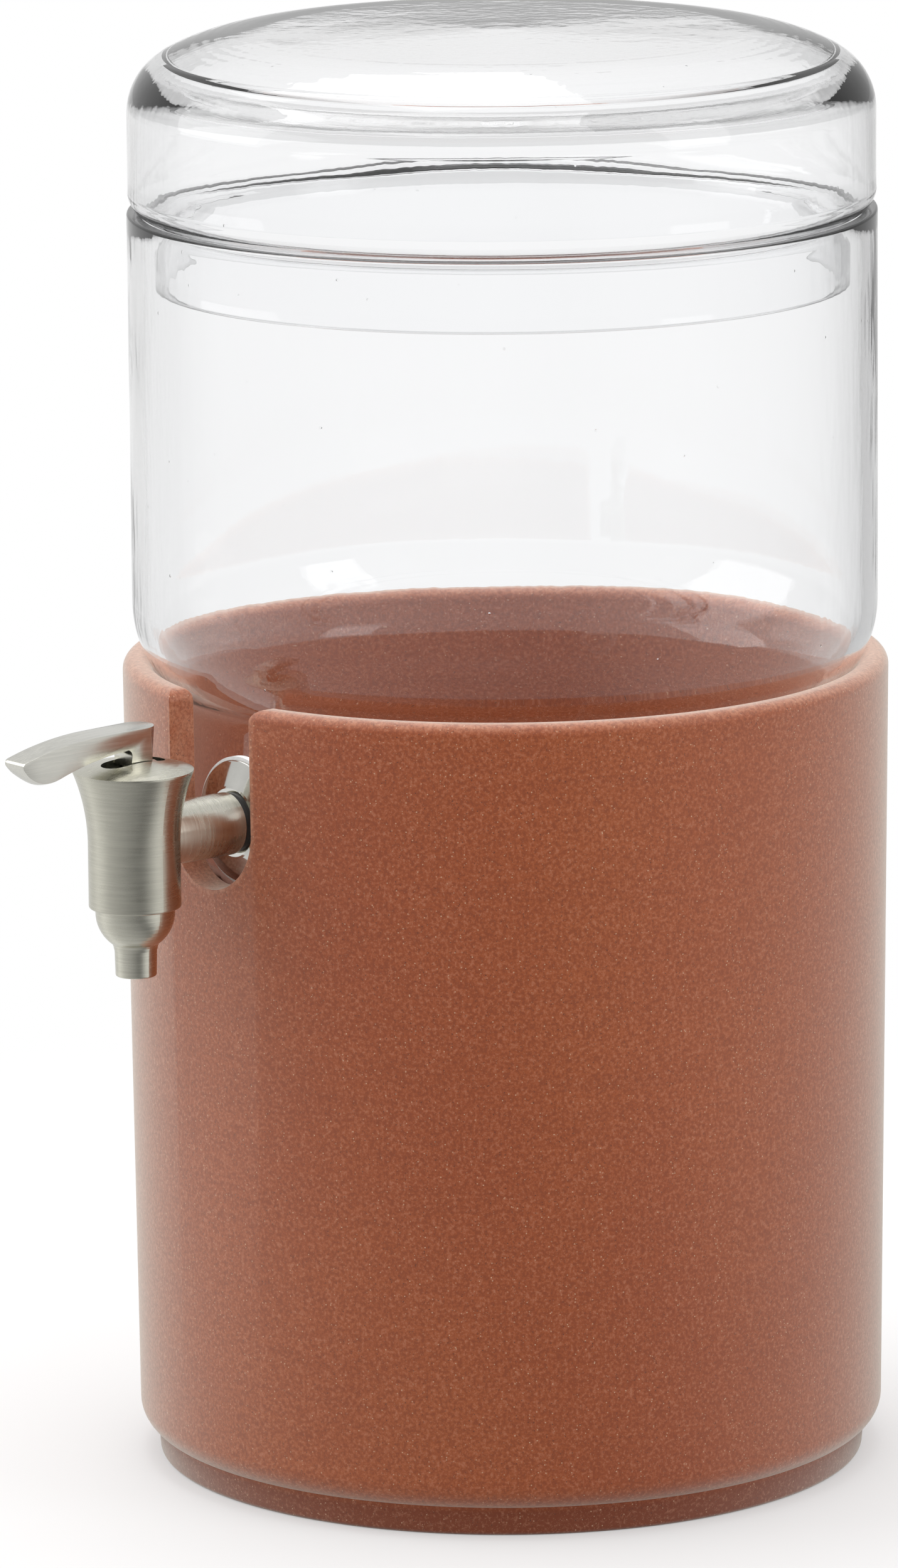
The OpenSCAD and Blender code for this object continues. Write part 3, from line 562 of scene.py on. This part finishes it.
spring_mat = brushed("spring_steel", (0.52, 0.52, 0.51), 0.28, (0.3, 0.3, 1))
silicone_mat = rubber("white_silicone", (0.86, 0.87, 0.87), 0.38, 0.25)
rubber_mat = rubber("black_rubber", (0.025, 0.025, 0.025), 0.45)
nylon_mat = rubber("gland_nylon", (0.80, 0.78, 0.70), 0.42, 0.1)


# ---------------------------------------------------------------- stand

STAND_SEGMENTS = 192


def make_stand():
    bottom_r = RIM_R - TAPER
    foot_top = bottom_r - FOOT_INSET
    foot_r = foot_top - FOOT_FLARE
    turn = math.degrees(math.acos((BOTTOM_ROUND - FOOT_INSET) / BOTTOM_ROUND))
    round_z = FOOT_H + leg(BOTTOM_ROUND, BOTTOM_ROUND - FOOT_INSET)
    in_top = RIM_R - WALL
    in_low = bottom_r - WALL
    loop = [(0, 0), (foot_r - FOOT_BEVEL, 0)]
    loop += arc(foot_r - FOOT_BEVEL, FOOT_BEVEL, FOOT_BEVEL, -75, -10, 4)
    loop += arc(bottom_r - BOTTOM_ROUND, round_z, BOTTOM_ROUND, -turn, 0, 8)
    loop += arc(RIM_R - RIM_ROUND, STAND_H - RIM_ROUND, RIM_ROUND, 0, 90, 8)
    loop += arc(in_top + RIM_ROUND, STAND_H - RIM_ROUND, RIM_ROUND, 90, 180, 8)
    loop += arc(in_low - FLOOR_ROUND, FLOOR_T + FLOOR_ROUND, FLOOR_ROUND, 0, -90, 8)
    loop += [(0, FLOOR_T)]
    stand = lathe("stand_clay", loop, STAND_SEGMENTS)
    top = STAND_H + 2 * MM
    slot = arc(0, TAP_Z, SLOT_HALF, 180, 360, 40)
    slot += arc(SLOT_HALF + SLOT_CORNER, STAND_H - SLOT_CORNER, SLOT_CORNER, 180, 90, 10)
    slot += [(SLOT_HALF + SLOT_CORNER, top), (-SLOT_HALF - SLOT_CORNER, top)]
    slot += arc(-SLOT_HALF - SLOT_CORNER, STAND_H - SLOT_CORNER, SLOT_CORNER, 90, 0, 10)
    tool = prism("slot_tool", slot, "y", -RIM_R - 10 * MM, -in_low + 30 * MM)
    combine(stand, tool, "DIFFERENCE")
    round_slot_edges(stand)
    smooth(stand, 32)
    dress(stand, "stand", "terracotta", clay_mat, "clay_stand")


def round_slot_edges(stand):
    """Rounds the slot's edges, outside and inside, up to where its corners meet the rim."""
    bm = bmesh.new()
    bm.from_mesh(stand.data)
    bmesh.ops.remove_doubles(bm, verts=bm.verts, dist=0.12 * MM)
    reach = SLOT_HALF + SLOT_CORNER - 0.4 * MM
    edges = []
    for e in bm.edges:
        if len(e.link_faces) != 2 or e.calc_face_angle(0) < math.radians(38):
            continue
        mid = (e.verts[0].co + e.verts[1].co) / 2
        if mid.y < -0.5 * RIM_R and abs(mid.x) < reach and mid.z > TAP_Z - SLOT_HALF - 2 * MM:
            edges.append(e)
    bmesh.ops.bevel(bm, geom=edges, offset=SLOT_EDGE, segments=4, profile=0.5,
                    affect="EDGES", clamp_overlap=True)
    bm.to_mesh(stand.data)
    bm.free()


make_stand()


# ---------------------------------------------------------------- glass

GLASS_SEGMENTS = 288
GLASS_STEP = 5 * MM                # the longest stretch of outline between two rings
VESSEL_WAVE_IN = 0.30 * MM         # unevenness of the inner face
VESSEL_WAVE_OUT = 0.06 * MM        # and of the outer face
RIM_FADE = 12 * MM                 # below the vessel's rim, where the unevenness fades out
LID_SINK_R = 0.12 * MM             # the lid stays this far inside the CAD lid's radius
LID_SINK_Z = 0.20 * MM             # and below its top, to leave room for the unevenness
LID_WAVE_SIDE = 0.12 * MM
LID_WAVE_TOP = 0.10 * MM
DRAW_RING_H = 0.025 * MM
DRAW_RING_R = 85 * MM              # radius at which the draw rings are strongest
DRAW_RING_SPAN = 13 * MM           # they fade out this far to either side of it
LID_FADE_R = 40 * MM               # the side's unevenness fades from here to the axis
LID_FADE_Z = 10 * MM               # and down to the seat over this height


def ripple(angle, z, seed, waves, size):
    """A slow unevenness of blown glass, as a length."""
    p = Vector((waves * math.cos(angle), waves * math.sin(angle), z * 26 + seed))
    return noise.noise(p) * size


def make_vessel():
    in_r = VESSEL_R - GLASS
    lower_in = LOWER_R - GLASS
    shoulder_x = VESSEL_R - SHOULDER_R
    rim_edge_x = RIM_R - WALL + RIM_ROUND
    touching = SHOULDER_R + RIM_ROUND + SEAT_GAP
    shoulder_z = STAND_H - RIM_ROUND + leg(touching, rim_edge_x - shoulder_x)
    neck_x = LOWER_R + NECK_R
    neck_z = shoulder_z - leg(SHOULDER_R + NECK_R, neck_x - shoulder_x)
    turn = math.degrees(math.acos((neck_x - shoulder_x) / (SHOULDER_R + NECK_R)))
    base_z = vessel_lo.z
    rim_z = vessel_hi.z
    floor_in_r = BASE_R - GLASS
    loop = [(0, base_z)]
    loop += arc(LOWER_R - BASE_R, base_z + BASE_R, BASE_R, -90, 0, 14)
    loop += arc(neck_x, neck_z, NECK_R, 180, 180 - turn, 10)
    loop += arc(shoulder_x, shoulder_z, SHOULDER_R, -turn, 0, 18)
    loop += arc(VESSEL_R - GROUND_R, rim_z - GROUND_R, GROUND_R, 0, 90, 5)
    loop += arc(in_r + GROUND_R, rim_z - GROUND_R, GROUND_R, 90, 180, 5)
    loop += arc(shoulder_x, shoulder_z, SHOULDER_R - GLASS, 0, -turn, 18)
    loop += arc(neck_x, neck_z, NECK_R + GLASS, 180 - turn, 180, 10)
    loop += arc(lower_in - floor_in_r, base_z + VESSEL_FLOOR + floor_in_r, floor_in_r, 0, -90, 14)
    loop += [(0, base_z + VESSEL_FLOOR)]

    def warp(r, z, a):
        inside = r < VESSEL_R - 0.6 * GLASS and z > base_z + 2 * BASE_R
        fade = min(1.0, max(0.0, (rim_z - z) / RIM_FADE))
        size = VESSEL_WAVE_IN if inside else VESSEL_WAVE_OUT
        wave = ripple(a, z, 3.1 if inside else 8.7, 1.3, size)
        return r - size * 0.5 * fade + wave * fade, z

    vessel = lathe("vessel_glass", subdivided(loop, GLASS_STEP), GLASS_SEGMENTS, warp)
    half = 20 * MM
    hole = lathe("hole_tool", [(0, -half), (HOLE_R, -half), (HOLE_R, half), (0, half)], 64)
    sideways = Matrix.Rotation(math.pi / 2, 4, "X")
    hole.data.transform(Matrix.Translation((0, -LOWER_R, TAP_Z)) @ sideways)
    combine(vessel, hole, "DIFFERENCE")
    smooth(vessel, 60)
    dress(vessel, "vessel", "clear_glass", vessel_glass, "glass_vessel")


def spaced(start, end, steps):
    return [start + (end - start) * i / steps for i in range(steps + 1)]


def inner_point(x, z, r, angle):
    """The point of the lid's inner face behind this point of its outer arc. The glass is thickest
    at THICK_AT."""
    near = 1 - min(1, abs(angle - THICK_AT) / THICK_SPAN)
    thick = LID_GLASS + SHOULDER_EXTRA * near * near * (3 - 2 * near)
    t = math.radians(angle)
    return x + (r - thick) * math.cos(t), z + (r - thick) * math.sin(t)


def make_lid():
    turn_r = LID_R - COLLAR_R
    rim_z = vessel_hi.z
    in_r = VESSEL_R - GLASS
    seat_z = rim_z - GROUND_R + leg(turn_r + GROUND_R + SEAT_GAP, in_r + GROUND_R - COLLAR_R)
    side_z = seat_z + LID_SIDE_H
    crown_turn = 90 - CROWN_FALL
    edge_x = LID_R - EDGE_R
    t = math.radians(EDGE_TURN)
    crown_x = edge_x - (CROWN_R - EDGE_R) * math.cos(t)
    crown_z = side_z - (CROWN_R - EDGE_R) * math.sin(t)
    top_z = lid_hi.z
    collar_in = COLLAR_R - LID_GLASS
    collar_turn = LID_GLASS
    foot_z = lid_lo.z
    blend_r = turn_r - CURL_GLASS
    loop = arc(COLLAR_R - GROUND_R, foot_z + GROUND_R, GROUND_R, -90, 0, 4)
    loop += arc(COLLAR_R, seat_z, turn_r, -90, 0, 16)
    loop += arc(edge_x, side_z, EDGE_R, 0, EDGE_TURN, 20)
    loop += arc(crown_x, crown_z, CROWN_R, EDGE_TURN, crown_turn, 60)
    loop += [(0, top_z), (0, top_z - LID_GLASS)]
    loop += [inner_point(crown_x, crown_z, CROWN_R, a) for a in spaced(crown_turn, EDGE_TURN, 12)]
    loop += [inner_point(edge_x, side_z, EDGE_R, a) for a in spaced(EDGE_TURN, 0, 20)]
    loop += arc(COLLAR_R, seat_z, blend_r, 0, -90, 16)
    loop += arc(COLLAR_R, seat_z - blend_r - collar_turn, collar_turn, 90, 180, 6)
    loop += arc(collar_in + GROUND_R, foot_z + GROUND_R, GROUND_R, 180, 270, 4)

    def warp(r, z, a):
        if z < seat_z:
            return r, z
        rise = min(1.0, (z - seat_z) / LID_FADE_Z)
        place = Vector((r * math.cos(a), r * math.sin(a), 5.3))
        lift = noise.noise(place * 17) * LID_WAVE_TOP * rise
        ring = max(0.0, 1 - abs(r - DRAW_RING_R) / DRAW_RING_SPAN) if z > side_z else 0
        lift += DRAW_RING_H * ring * math.sin(2 * math.pi * r / DRAW_RING)
        side = ripple(a, z, 1.9, 1.4, LID_WAVE_SIDE) * rise
        return r - LID_SINK_R + side * min(1.0, r / LID_FADE_R), z - LID_SINK_Z + lift

    lid = lathe("lid_glass_piece", subdivided(loop, GLASS_STEP), GLASS_SEGMENTS, warp)
    dress(lid, "lid", "lid_glass", lid_glass, "glass_lid")


make_vessel()
make_lid()
for name in ("vessel_glass", "lid_glass_piece"):
    # so that light reaches the clay through the glass
    bpy.data.objects[name].visible_diffuse = False


# ---------------------------------------------------------------- lever

LEVER_BACK = 6.2 * MM            # behind the spout's axis, at the top
ROOT_LEAN = 0.7 * MM
ROOT_FRONT = 3.4 * MM            # 2.8 mm more than the CAD lever, as the photo shows
LEVER_T = 5.7 * MM
LEVER_FRONT = spout.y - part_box("lever")[0].y
LEVER_TOP_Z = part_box("lever")[1].z
CAP_TOP_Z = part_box("tap_cap")[1].z
ROOT_HALF = 5.3 * MM
NOSE_HALF = 4.3 * MM
POST_HALF = 3.9 * MM
LEVER_BEND = 13.5 * MM
LEVER_FALL = math.radians(1.2)
LEVER_TOP_R = 104 * MM
LEVER_UNDER_R = 80 * MM
BELLY_R = 11 * MM
TIP_R = 1.3 * MM
HOLLOW_R = 2.0 * MM
CROWN = 0.9 * MM                 # how far the belly bulges between its two edges
LEVER_EDGE = 0.7 * MM
LEVER_ACROSS = 10                # faces across the lever's width
FOOT_TOP = 0.6 * MM              # the CAD lever is kept up to this far below the cap's top


def meeting(a, a_r, b, b_r):
    """The point at these distances from a and from b, on the left of the way from a to b."""
    between = (b - a).length
    along = (a_r ** 2 - b_r ** 2 + between ** 2) / (2 * between)
    way = (b - a) / between
    return a + along * way + leg(a_r, along) * Vector((-way.y, way.x))


def bearing(start, end):
    return math.degrees(math.atan2(end.y - start.y, end.x - start.x))


def lever_outline():
    """The lever's side view as (distance in front of the spout's axis, height, bulge), with the
    heights of its crest and of the middle of its tip."""
    crest = LEVER_TOP_Z - ROOT_LEAN * math.tan(LEVER_FALL)
    bend_z = crest - (LEVER_BEND + LEVER_BACK) * math.tan(LEVER_FALL)
    square = Vector((math.sin(LEVER_FALL), math.cos(LEVER_FALL)))
    top = Vector((LEVER_BEND, bend_z)) - LEVER_TOP_R * square
    tip_x = LEVER_FRONT - TIP_R
    tip = Vector((tip_x, top.y + leg(LEVER_TOP_R - TIP_R, tip_x - top.x)))
    under = Vector((0, crest - LEVER_T - LEVER_UNDER_R))
    belly = meeting(under, LEVER_UNDER_R + BELLY_R, tip, BELLY_R - TIP_R)
    under_z = crest - LEVER_T
    foot_z = CAP_TOP_Z - 1 * MM
    back_x = -LEVER_BACK - ROOT_LEAN
    fillet = (ROOT_FRONT + HOLLOW_R, under_z - HOLLOW_R)
    tip_turn = bearing(belly, tip)
    under_turn = bearing(under, belly)
    root_turn = 90 - math.degrees(math.asin((ROOT_FRONT + HOLLOW_R) / LEVER_UNDER_R))
    loop = [(back_x, crest + ROOT_LEAN * math.tan(LEVER_FALL), 0)]
    top_turn = bearing(top, tip)
    from_turn = 90 - math.degrees(LEVER_FALL)
    loop += [(x, z, 0) for x, z in arc(*top, LEVER_TOP_R, from_turn, top_turn, 16)]
    loop += [(x, z, 0) for x, z in arc(*tip, TIP_R, top_turn, tip_turn, 5)]
    swell = arc(*belly, BELLY_R, tip_turn, under_turn - 180, 14)
    loop += [(x, z, CROWN * min(1, 2 * i / len(swell))) for i, (x, z) in enumerate(swell)][1:]
    flat = arc(*under, LEVER_UNDER_R, under_turn, root_turn, 14)
    loop += [(x, z, CROWN * max(0, 1 - 1.6 * i / len(flat))) for i, (x, z) in enumerate(flat)][1:]
    loop += [(x, z, 0) for x, z in arc(*fillet, HOLLOW_R, 90, 180, 6)][1:]
    loop += [(ROOT_FRONT, foot_z, 0), (back_x, foot_z, 0)]
    return loop, crest, tip.y


def make_lever():
    loop, crest, tip_z = lever_outline()
    draft = (ROOT_HALF - POST_HALF) / (crest - CAP_TOP_Z)
    taper = (ROOT_HALF - NOSE_HALF - (crest - tip_z) * draft) / LEVER_FRONT
    bm = bmesh.new()
    rows = []
    count = len(loop)
    for i, (x, z, bulge) in enumerate(loop):
        before = Vector(loop[i - 1][:2])
        after = Vector(loop[(i + 1) % count][:2])
        out = Vector((before.y - after.y, after.x - before.x)).normalized()
        half = ROOT_HALF - (crest - z) * draft - x * taper
        row = []
        for j in range(LEVER_ACROSS + 1):
            u = 2 * j / LEVER_ACROSS - 1
            push = bulge * (1 - u * u)
            row.append(bm.verts.new((u * half, spout.y - x - out.x * push, z + out.y * push)))
        rows.append(row)
    for i, row in enumerate(rows):
        after = rows[(i + 1) % count]
        for j in range(LEVER_ACROSS):
            bm.faces.new((row[j], row[j + 1], after[j + 1], after[j]))
    bm.faces.new([row[0] for row in rows])
    bm.faces.new([row[LEVER_ACROSS] for row in reversed(rows)])
    lever = built("lever_blade", bm)
    combine(lever, round_back(crest), "INTERSECT")
    soften(lever, LEVER_EDGE, 35)
    combine(lever, lever_foot(), "UNION")
    smooth(lever, 30)
    dress(lever, "lever", "brushed_lever", lever_mat, "lever")


def round_back(crest):
    """Everything in front of the lever's round back, which leans back toward the cap."""
    reach = 2 * LEVER_FRONT
    tilt = math.atan(ROOT_LEAN / (crest - CAP_TOP_Z))
    plan = [(-y, -x) for x, y in arc(ROOT_HALF - LEVER_BACK, 0, ROOT_HALF, 90, 270, 32)]
    plan += [(ROOT_HALF, -reach), (-ROOT_HALF, -reach)]
    tool = prism("back_tool", plan, "z", -LEVER_FRONT, LEVER_FRONT)
    lean = Matrix.Rotation(-tilt, 4, "X")
    tool.data.transform(Matrix.Translation((spout.x, spout.y, crest)) @ lean)
    return tool


def lever_foot():
    """The part of the CAD lever that lies inside the cap, as a copy."""
    foot = new_object("lever_foot", nodes["lever"].data.copy())
    half = LEVER_FRONT
    box = [(-half, -half), (half, -half), (half, half), (-half, half)]
    tool = prism("foot_tool", box, "z", -half, 0)
    tool.data.transform(Matrix.Translation((spout.x, spout.y, CAP_TOP_Z - FOOT_TOP)))
    combine(foot, tool, "INTERSECT")
    return foot


def soften(obj, size, angle):
    """Rounds the edges that turn by more than this angle."""
    bm = bmesh.new()
    bm.from_mesh(obj.data)
    bmesh.ops.remove_doubles(bm, verts=bm.verts, dist=0.02 * MM)
    limit = math.radians(angle)
    sharp = [e for e in bm.edges if len(e.link_faces) == 2 and e.calc_face_angle(0) > limit]
    bmesh.ops.bevel(bm, geom=sharp, offset=size, segments=3, profile=0.5,
                    affect="EDGES", clamp_overlap=True)
    bm.to_mesh(obj.data)
    bm.free()


make_lever()


# ---------------------------------------------------------------- spring

SPRING_TURNS = 6
SPRING_WIRE = 0.9 * MM
END_PITCH = 1.05 * SPRING_WIRE   # rise of the closed turn at either end
SPRING_STEPS = 28                # round one turn
WIRE_SIDES = 10


def make_spring():
    lo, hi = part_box("return_spring")
    coil_r = (hi.x - lo.x - SPRING_WIRE) / 2
    low = lo.z + SPRING_WIRE / 2 + END_PITCH
    high = hi.z - SPRING_WIRE / 2 - END_PITCH
    bm = bmesh.new()
    rings = []
    for i in range(SPRING_TURNS * SPRING_STEPS + 1):
        a = 2 * math.pi * i / SPRING_STEPS
        turns = i / SPRING_STEPS
        lift = (min(turns, 1) - min(1, max(0, SPRING_TURNS - turns))) * END_PITCH
        share = min(1, max(0, (turns - 1) / (SPRING_TURNS - 2)))
        z = low + (high - low) * share + lift
        ring = []
        for k in range(WIRE_SIDES):
            t = 2 * math.pi * k / WIRE_SIDES
            r = coil_r + SPRING_WIRE / 2 * math.cos(t)
            ring.append(bm.verts.new((spout.x + r * math.cos(a), spout.y + r * math.sin(a),
                                      z + SPRING_WIRE / 2 * math.sin(t))))
        rings.append(ring)
    for low_ring, high_ring in zip(rings, rings[1:]):
        for k in range(WIRE_SIDES):
            n = (k + 1) % WIRE_SIDES
            bm.faces.new((low_ring[k], low_ring[n], high_ring[n], high_ring[k]))
    bm.faces.new(rings[0])
    bm.faces.new(rings[-1])
    spring = built("spring_coil", bm)
    smooth(spring)
    dress(spring, "vessel", "spring_steel", spring_mat, "return_spring")
    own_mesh(spring)


make_spring()


# ---------------------------------------------------------------- CAD pieces that keep their shape

for name, material in {
    "tap_body": body_mat, "stem_shank": stem_mat, "tap_cap": cap_mat, "flange": flange_mat,
    "stem_gasket": rubber_mat, "outer_washer": silicone_mat, "inner_washer": silicone_mat,
    "plate_washer": plain_mat, "shank_nut": plain_mat, "outlet_cup": outlet_mat,
    "spout_tube": outlet_mat, "gland_bush": nylon_mat, "rod_seal": rubber_mat,
    "pivot_pin": plain_mat, "link_pin": plain_mat, "plunger": plain_mat, "seat_plug": silicone_mat,
}.items():
    nodes[name].data.materials.clear()
    nodes[name].data.materials.append(material)


# ---------------------------------------------------------------- floor, world and lamps

FLOOR_HALF = 12.0
FLOOR_LIFT = 0.37                # added as the paper is seen: white outside the shadow
PAPER = 0.48
WHITE_FROM = 0.20                # distance from the axis at which the floor begins to turn white
WHITE_AT = 0.55                  # and at which it is pure white
CAMERA_SIDE = Vector((math.sin(CAMERA_AZIMUTH), -math.cos(CAMERA_AZIMUTH), 0))
CAMERA_RIGHT = Vector((math.cos(CAMERA_AZIMUTH), math.sin(CAMERA_AZIMUTH), 0))
# Where the white backdrop behind the pot begins and is full: cosines of the angle from CAMERA_SIDE.
BACKDROP_EDGE = -0.90
BACKDROP_FULL = -1.0
WORLD_LOW = 0.52                 # the light that falls from the room, level with the table
WORLD_HIGH = 1.95                # the same from straight above
LAMP_AIM_Z = 0.2                 # the lamps point at the axis, this high
# How bright the room is all round: degrees from CAMERA_SIDE toward CAMERA_RIGHT, and the level.
IN_GLOSS = ((-180, 1.0), (-150, 0.80), (-115, 0.80), (-95, 0.95), (-62, 0.62), (-25, 0.40),
            (4, 0.22), (18, 0.25), (42, 0.68), (58, 0.84), (90, 0.70), (125, 0.52),
            (160, 0.60), (180, 1.0))
THROUGH_GLASS = ((-180, 1.0), (-169, 0.93), (-156, 0.82), (-110, 0.88), (-40, 0.93), (40, 0.93),
                 (110, 0.80), (140, 0.55), (158, 0.70), (170, 0.93), (180, 1.0))


def ray_kind(tree, *kinds):
    """1 for rays of these kinds, else 0."""
    path = add(tree, "ShaderNodeLightPath")
    total = path.outputs[kinds[0]]
    for kind in kinds[1:]:
        total = calc(tree, "MAXIMUM", total, path.outputs[kind])
    return total


def all_round(tree, share, levels):
    """The room's level at this share of a full turn, where 0.5 is the camera's side."""
    ramp = add(tree, "ShaderNodeValToRGB")
    tree.links.new(share, ramp.inputs[0])
    stops = ramp.color_ramp.elements
    while len(stops) < len(levels):
        stops.new(0.5)
    for stop, (angle, bright) in zip(stops, levels):
        stop.position = angle / 360 + 0.5
        stop.color = (bright, bright, bright, 1)
    return ramp.outputs[0]


def room_level(tree, way):
    """How bright the room is this way, as gloss and glass show it, and how far this way is the
    white backdrop's."""
    flat = add(tree, "ShaderNodeVectorMath", operation="MULTIPLY")
    flat.inputs[1].default_value = (1, 1, 0)
    tree.links.new(way, flat.inputs[0])
    unit = add(tree, "ShaderNodeVectorMath", operation="NORMALIZE")
    tree.links.new(flat.outputs[0], unit.inputs[0])
    front = dot_with(tree, unit.outputs[0], CAMERA_SIDE)
    side = dot_with(tree, unit.outputs[0], CAMERA_RIGHT)
    turn = calc(tree, "DIVIDE", calc(tree, "ARCTAN2", side, front), 2 * math.pi)
    share = calc(tree, "ADD", turn, 0.5)
    through = add(tree, "ShaderNodeLightPath").outputs["Is Transmission Ray"]
    gloss = all_round(tree, share, IN_GLOSS)
    level = mixed(tree, through, gloss, all_round(tree, share, THROUGH_GLASS))
    return level, spread(tree, front, BACKDROP_EDGE, BACKDROP_FULL)


def mirrored_view(tree):
    """1 for what gloss and glass show to the camera, 0 for its own view and for falling light."""
    path = add(tree, "ShaderNodeLightPath")
    fresh = calc(tree, "LESS_THAN", path.outputs["Diffuse Depth"], 0.5)
    shiny = calc(tree, "MAXIMUM", path.outputs["Is Glossy Ray"], path.outputs["Is Transmission Ray"])
    return calc(tree, "MULTIPLY", shiny, fresh)


def dot_with(tree, vector, way):
    node = add(tree, "ShaderNodeVectorMath", operation="DOT_PRODUCT")
    node.inputs[1].default_value = way
    tree.links.new(vector, node.inputs[0])
    return node.outputs["Value"]


def make_floor():
    mesh = bpy.data.meshes.new("floor")
    h = FLOOR_HALF
    mesh.from_pydata([(-h, -h, 0), (h, -h, 0), (h, h, 0), (-h, h, 0)], [], [(0, 1, 2, 3)])
    floor = new_object("floor", mesh)
    mat, tree, shader = new_material("floor_white")
    shader.inputs["Base Color"].default_value = (PAPER, PAPER, PAPER, 1)
    shader.inputs["Roughness"].default_value = 0.9
    shader.inputs["Specular IOR Level"].default_value = 0.0
    place = add(tree, "ShaderNodeTexCoord").outputs["Object"]
    length = add(tree, "ShaderNodeVectorMath", operation="LENGTH")
    tree.links.new(place, length.inputs[0])
    far = spread(tree, length.outputs["Value"], WHITE_FROM, WHITE_AT)
    level, behind = room_level(tree, place)
    shown = mirrored_view(tree)
    aside = calc(tree, "MULTIPLY", shown, calc(tree, "SUBTRACT", 1.0, behind))
    paper = add(tree, "ShaderNodeEmission")
    straight = calc(tree, "SUBTRACT", 1.0, shown)
    strength = calc(tree, "ADD", straight, calc(tree, "MULTIPLY", shown, level))
    tree.links.new(strength, paper.inputs["Strength"])
    seen = ray_kind(tree, "Is Camera Ray", "Is Glossy Ray", "Is Transmission Ray")
    lift = add(tree, "ShaderNodeEmission")
    tree.links.new(calc(tree, "MULTIPLY", seen, FLOOR_LIFT), lift.inputs["Strength"])
    near = add(tree, "ShaderNodeAddShader")
    tree.links.new(shader.outputs[0], near.inputs[0])
    tree.links.new(lift.outputs[0], near.inputs[1])
    mix = add(tree, "ShaderNodeMixShader")
    covered = calc(tree, "MAXIMUM", calc(tree, "MULTIPLY", far, seen), aside)
    tree.links.new(covered, mix.inputs[0])
    tree.links.new(near.outputs[0], mix.inputs[1])
    tree.links.new(paper.outputs[0], mix.inputs[2])
    out = tree.nodes["Material Output"]
    tree.links.new(mix.outputs[0], out.inputs["Surface"])
    mesh.materials.append(mat)


def make_world():
    world = bpy.data.worlds.new("studio")
    scene.world = world
    world.use_nodes = True
    world.cycles.sampling_method = "NONE"
    tree = world.node_tree
    tree.nodes.clear()
    way = add(tree, "ShaderNodeTexCoord").outputs["Generated"]
    level = room_level(tree, way)[0]
    height = dot_with(tree, way, Vector((0, 0, 1)))
    level = calc(tree, "MAXIMUM", level, spread(tree, height, 0.05, 0.50))
    shown = mirrored_view(tree)
    falls = calc(tree, "ADD", calc(tree, "MULTIPLY", height, WORLD_HIGH - WORLD_LOW), WORLD_LOW)
    level = calc(tree, "ADD", calc(tree, "MULTIPLY", shown, level),
                 calc(tree, "MULTIPLY", calc(tree, "SUBTRACT", 1.0, shown), falls))
    level = calc(tree, "MAXIMUM", level, ray_kind(tree, "Is Camera Ray"))
    back = add(tree, "ShaderNodeBackground")
    tree.links.new(level, back.inputs["Strength"])
    out = add(tree, "ShaderNodeOutputWorld")
    tree.links.new(back.outputs[0], out.inputs["Surface"])


def make_lamp(name, azimuth, elevation, distance, size, power):
    """A soft box. Azimuth is measured from the camera's side, positive to its right."""
    a = CAMERA_AZIMUTH + math.radians(azimuth)
    e = math.radians(elevation)
    way = Vector((math.sin(a) * math.cos(e), -math.cos(a) * math.cos(e), math.sin(e)))
    data = bpy.data.lights.new(name, "AREA")
    data.shape = "RECTANGLE"
    data.size, data.size_y = size
    data.energy = power
    lamp = bpy.data.objects.new(name, data)
    lamp.location = Vector((0, 0, LAMP_AIM_Z)) + way * distance
    lamp.rotation_mode = "QUATERNION"
    lamp.rotation_quaternion = way.to_track_quat("Z", "Y")
    scene.collection.objects.link(lamp)
    lamp.light_linking.blocker_collection = solid_pieces
    return lamp


def all_but(name, *left_out):
    """A collection of every piece so far, except these."""
    group = bpy.data.collections.new(name)
    for obj in scene.objects:
        if obj.type == "MESH" and obj.name not in left_out:
            group.objects.link(obj)
    return group


make_floor()
make_world()
# The pieces that stop the lamps' light. The glass lets it through, as real clear glass does.
solid_pieces = all_but("solid_pieces", "vessel_glass", "lid_glass_piece",
                       "glass_vessel", "glass_lid")
box_left = make_lamp("box_left", -96, 30, 1.7, (1.2, 1.5), 7.6)
box_left.light_linking.receiver_collection = all_but("lit_from_left", "flange")
make_lamp("box_right", 62, 26, 1.7, (0.6, 1.0), 2.8)
make_lamp("box_top", -160, 72, 1.8, (0.9, 1.3), 7.3)

scene.view_settings.view_transform = "Standard"
